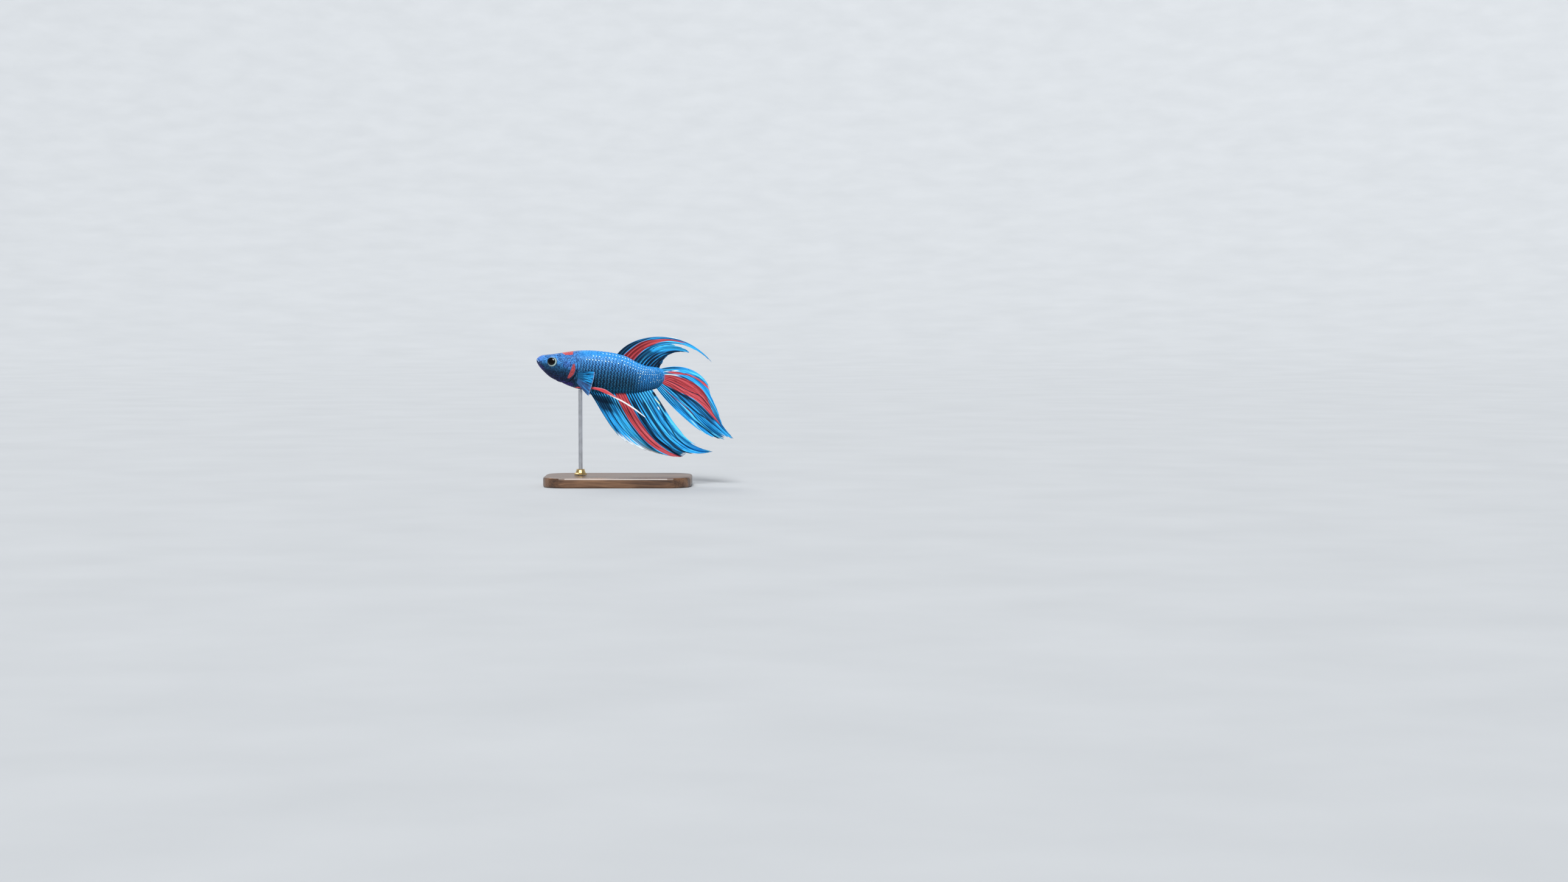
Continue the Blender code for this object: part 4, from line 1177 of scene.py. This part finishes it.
ANAL_COLOURS = {
    "rays": 26,
    "red": (
        ((0, 0.42), (0.27, 0.41), (0.46, 0.405), (0.6, 0.4), (0.75, 0.39), (0.9, 0.385), (1, 0.385)),
        (
            (0, 0.583), (0.33, 0.575), (0.46, 0.57), (0.56, 0.558), (0.65, 0.545), (0.75, 0.53), (0.85, 0.51),
            (1, 0.51),
        ),
    ),
    "red_span": (-0.1, 1.1),
    "level": (
        (0, 0.46), (0.1, 0.46), (0.2, 0.52), (0.28, 0.6), (0.36, 0.52), (0.44, 0.52), (0.62, 0.46),
        (0.7, 0.5),
        (0.78, 0.56), (0.88, 0.68), (0.95, 0.68), (1, 0.52),
    ),
    "touches": (
        (NAVY, 0.17, 0.2, 0.04, 0.15, 0.85),
        (NAVY, ((0, 0.13), (1, 0.2)), 0.14, 0.1, 0.27, 0.88),
        (CYAN, ((0, 0.2), (0.4, 0.26), (0.66, 0.31), (1, 0.36)), 0.05, 0.3, 0.97, 0.6),
        (NAVY, ((0, 0.19), (0.3, 0.195), (0.56, 0.2), (1, 0.26)), 0.012, 0.2, 0.75, 0.85),
        (NAVY, ((0, 0.28), (0.3, 0.285), (0.6, 0.31), (1, 0.36)), 0.008, 0.2, 0.85, 0.8),
        (NAVY, ((0, 0.08), (0.5, 0.09), (1, 0.14)), 0.01, 0.25, 0.8, 0.8),
        (WHITE, ((0, 0.0), (0.7, 0.02), (0.86, 0.1), (1, 0.28)), 0.1, 0.72, 1.1, 0.9),
        (
            WHITE, ((0, 0.1), (0.86, 0.14), (1, 0.2)), ((0, 0.1), (0.84, 0.1), (0.92, 0.16), (1, 0.2)),
            0.84, 1.1, 0.8,
        ),
        *((WHITE, strand, 0.007, 0.66, 1.1, 0.9) for strand in ANAL_WHITE_STRANDS),
        (
            NAVY,
            ((0, 0.375), (0.21, 0.378), (0.33, 0.38), (0.45, 0.382), (0.6, 0.372), (0.75, 0.362), (1, 0.35)),
            0.02, 0.1, 0.85, 0.9,
        ),
        ((0.05, 0.004, 0.006), ((0, 0.5), (0.3, 0.49), (0.6, 0.48), (1, 0.45)), 0.012, 0.15, 0.75, 0.9),
        (
            NAVY,
            ((0, 0.62), (0.27, 0.632), (0.46, 0.628), (0.6, 0.606), (0.8, 0.588), (0.88, 0.545), (1, 0.5)),
            0.03, 0.08, 0.97, 0.92,
        ),
        (NAVY, ((0, 0.7), (0.4, 0.69), (0.7, 0.65), (1, 0.6)), 0.01, 0.1, 0.8, 0.85),
        (
            NAVY,
            ((0, 0.78), (0.19, 0.77), (0.33, 0.758), (0.5, 0.737), (0.67, 0.71), (0.85, 0.67), (1, 0.645)),
            0.028, 0.1, 1.05, 0.92,
        ),
        (NAVY, ((0, 0.85), (0.4, 0.83), (0.7, 0.77), (1, 0.72)), 0.01, 0.1, 0.8, 0.85),
        (
            NAVY, ((0, 0.93), (0.48, 0.9), (0.58, 0.86), (0.67, 0.838), (0.75, 0.82), (1, 0.78)),
            0.018, 0.3, 0.95, 0.85,
        ),
        (NAVY, 0.99, 0.03, 0.17, 0.36, 0.9),
        (CREAM, ((0, 0.95), (0.12, 0.955), (0.22, 0.975), (1, 0.98)), 0.009, 0.12, 0.215, 0.95),
        (BLACK, 1.0, 0.05, 0.035, 0.1, 0.98),
        (WHITE, 0.925, 0.011, 0.215, 0.25, 0.95),
    ),
}
ANAL_EDGE = (
    (0, 0.93), (0.03, 0.9), (0.09, 0.84), (0.125, 0.9), (0.16, 0.96), (0.2, 1.0), (0.55, 1.0), (0.62, 0.97),
    (0.7, 1.0), (0.86, 1.0), (0.9, 0.98), (0.935, 0.87), (0.965, 0.92), (1, 0.72),
)
PECTORAL_COLOURS = {
    "rays": 16,
    "red": (((0, 0.0), (1, 0.0)), ((0, 0.0), (1, 0.0))),
    "red_span": (2.0, 3.0),  # beyond the rays' ends, so that it has none
    "level": ((0, 0.3), (0.35, 0.3), (0.55, 0.22), (1, 0.18)),
    "touches": (
        ((0.015, 0.11, 0.25), 0.5, 1.2, -0.1, 0.3, 0.5),
        ((0.07, 0.14, 0.36), 0.95, 0.5, -0.1, 1.1, 0.45),
        ((0.45, 0.55, 0.85), 0.5, 1.2, 0.955, 1.1, 0.8),
    ),
    "contrast": 0.6,
}


def make_unpaired_fins():
    """The dorsal, tail and anal fins: their rays, roots, folds, edges, notches and colours."""
    for name, table, counts, root, folds, edge, notch, colours in (
        (
            "dorsal", DORSAL, (14, 12, 90), on_back, DORSAL_FOLDS, DORSAL_EDGE,
            (((0, 0.05), (1, 0.07)), 0.03, 0.05), DORSAL_COLOURS,
        ),
        (
            "caudal", CAUDAL, (18, 12, 100), on_stalk_end, CAUDAL_FOLDS, CAUDAL_EDGE,
            (((0, 0.03), (0.5, 0.04), (0.8, 0.05), (1, 0.06)), 0.03, 0.03), CAUDAL_COLOURS,
        ),
        (
            "anal", ANAL, (26, 10, 90), on_belly, ANAL_FOLDS, ANAL_EDGE,
            (((0, 0.18), (0.12, 0.22), (0.3, 0.16), (0.38, 0.05), (1, 0.06)), 0.06, 0.04), ANAL_COLOURS,
        ),
    ):
        material = fin_material(name + "_colours", **colours)
        make_fin(name + "_fin", table, counts, root, folded(*folds), edge, notch, material)


def make_paired_fins():
    """The pectoral fans and the long pelvic fins."""
    pectoral = fin_material("pectoral_colours", **PECTORAL_COLOURS)
    pelvic = pelvic_material()
    for name, side in (("left", -1), ("right", 1)):
        make_fin(
            "pectoral_fin_" + name, PECTORAL, (18, 10, 40), on_flank, flared(side), ((0, 1.0), (1, 1.0)),
            (((0, 0.02), (0.6, 0.03), (1, 0.05)), 0.02, 0.02), pectoral, PECTORAL_RAY_HALF,
        )
        make_pelvic_fin("pelvic_fin_" + name, side, pelvic)


# Stage.
MM_PER_PIXEL = 0.24
PHOTO_SIZE = (2576, 1449)
FRAME_CENTRE = (58.4, 17.6)  # of the camera's frame at the fish, x and z in millimetres
CAMERA_DISTANCE = 1.2
CAMERA_RISE = 3.0
SENSOR = 36.0
# Of each light: where it shines from, its strength and its softness in degrees.
SUNS = {"key": ((-0.05, -0.73, 0.68), 3.25, 20), "rim": ((-0.25, 0.6, 0.75), 0.9, 30)}
WORLD = (0.93, 0.96, 1.0, 1)
WORLD_STRENGTH = 0.36
SWEEP_PAINT = ((0.3, (0.5, 0.52, 0.54)), (0.7, (0.53, 0.55, 0.57)))
SWEEP_STEPS = (24, 96)  # up the cove and around
SWEEP = (1.5, 3.0, 2.0)  # metres of flat floor, then the width and the height of its cove


def add_sun(name, direction, strength, softness):
    data = bpy.data.lights.new(name, "SUN")
    data.energy = strength
    data.angle = math.radians(softness)
    light = bpy.data.objects.new(name, data)
    bpy.context.scene.collection.objects.link(light)
    light.rotation_euler = Vector(direction).to_track_quat("Z", "Y").to_euler()


def make_sweep():
    """A plain pale floor that curves up on every side, far from the camera and the fish."""
    n = Nodes("sweep_paint")
    n.finish(n.ramp(n.noise(n.place(), 0.02, 3.0), SWEEP_PAINT), 0.8, Specular_IOR_Level=0.1)
    flat, cove, height = SWEEP
    steps, around = SWEEP_STEPS
    profile = [(0.001, 0.0), (flat, 0.0)]
    for k in range(1, steps + 1):
        bend = math.pi / 2 * k / steps
        profile.append((flat + cove * math.sin(bend), height * (1 - math.cos(bend))))
    angles = np.linspace(0, 2 * math.pi, around, endpoint=False)
    points = [(r * math.cos(a), r * math.sin(a), z) for a in angles for r, z in profile]
    mesh = bpy.data.meshes.new("sweep")
    faces = grid_faces(around, len(profile), wrap=True, flip=True).tolist()
    mesh.from_pydata(points, [], faces)
    mesh.materials.append(n.material)
    mesh.shade_smooth()
    sweep = bpy.data.objects.new("sweep", mesh)
    bpy.context.scene.collection.objects.link(sweep)


def make_stage():
    scene = bpy.context.scene
    scene.view_settings.view_transform = "Standard"
    world = bpy.data.worlds.new("studio")
    scene.world = world
    world.use_nodes = True
    background = world.node_tree.nodes["Background"]
    background.inputs[0].default_value = WORLD
    background.inputs[1].default_value = WORLD_STRENGTH
    make_sweep()
    for name, (direction, strength, softness) in SUNS.items():
        add_sun(name, direction, strength, softness)

    target = (FRAME_CENTRE[0] * MM, 0, FRAME_CENTRE[1] * MM)
    rise = math.radians(CAMERA_RISE)
    data = bpy.data.cameras.new("camera")
    data.sensor_width = SENSOR
    data.lens = SENSOR * CAMERA_DISTANCE / (PHOTO_SIZE[0] * MM_PER_PIXEL * MM)
    data.clip_start = 0.01
    camera = bpy.data.objects.new("camera", data)
    scene.collection.objects.link(camera)
    camera.location = (
        target[0], -CAMERA_DISTANCE * math.cos(rise), target[2] + CAMERA_DISTANCE * math.sin(rise)
    )
    camera.rotation_euler = (math.pi / 2 - rise, 0, 0)
    scene.camera = camera


def main():
    make_skin()
    scales = scale_material()
    make_scales("scales_left", -1, scales)
    make_scales("scales_right", 1, scales)
    eyes = eye_material()
    make_eye("left", -1, eyes)
    make_eye("right", 1, eyes)
    make_unpaired_fins()
    make_paired_fins()
    finish_stand()
    make_stage()


main()
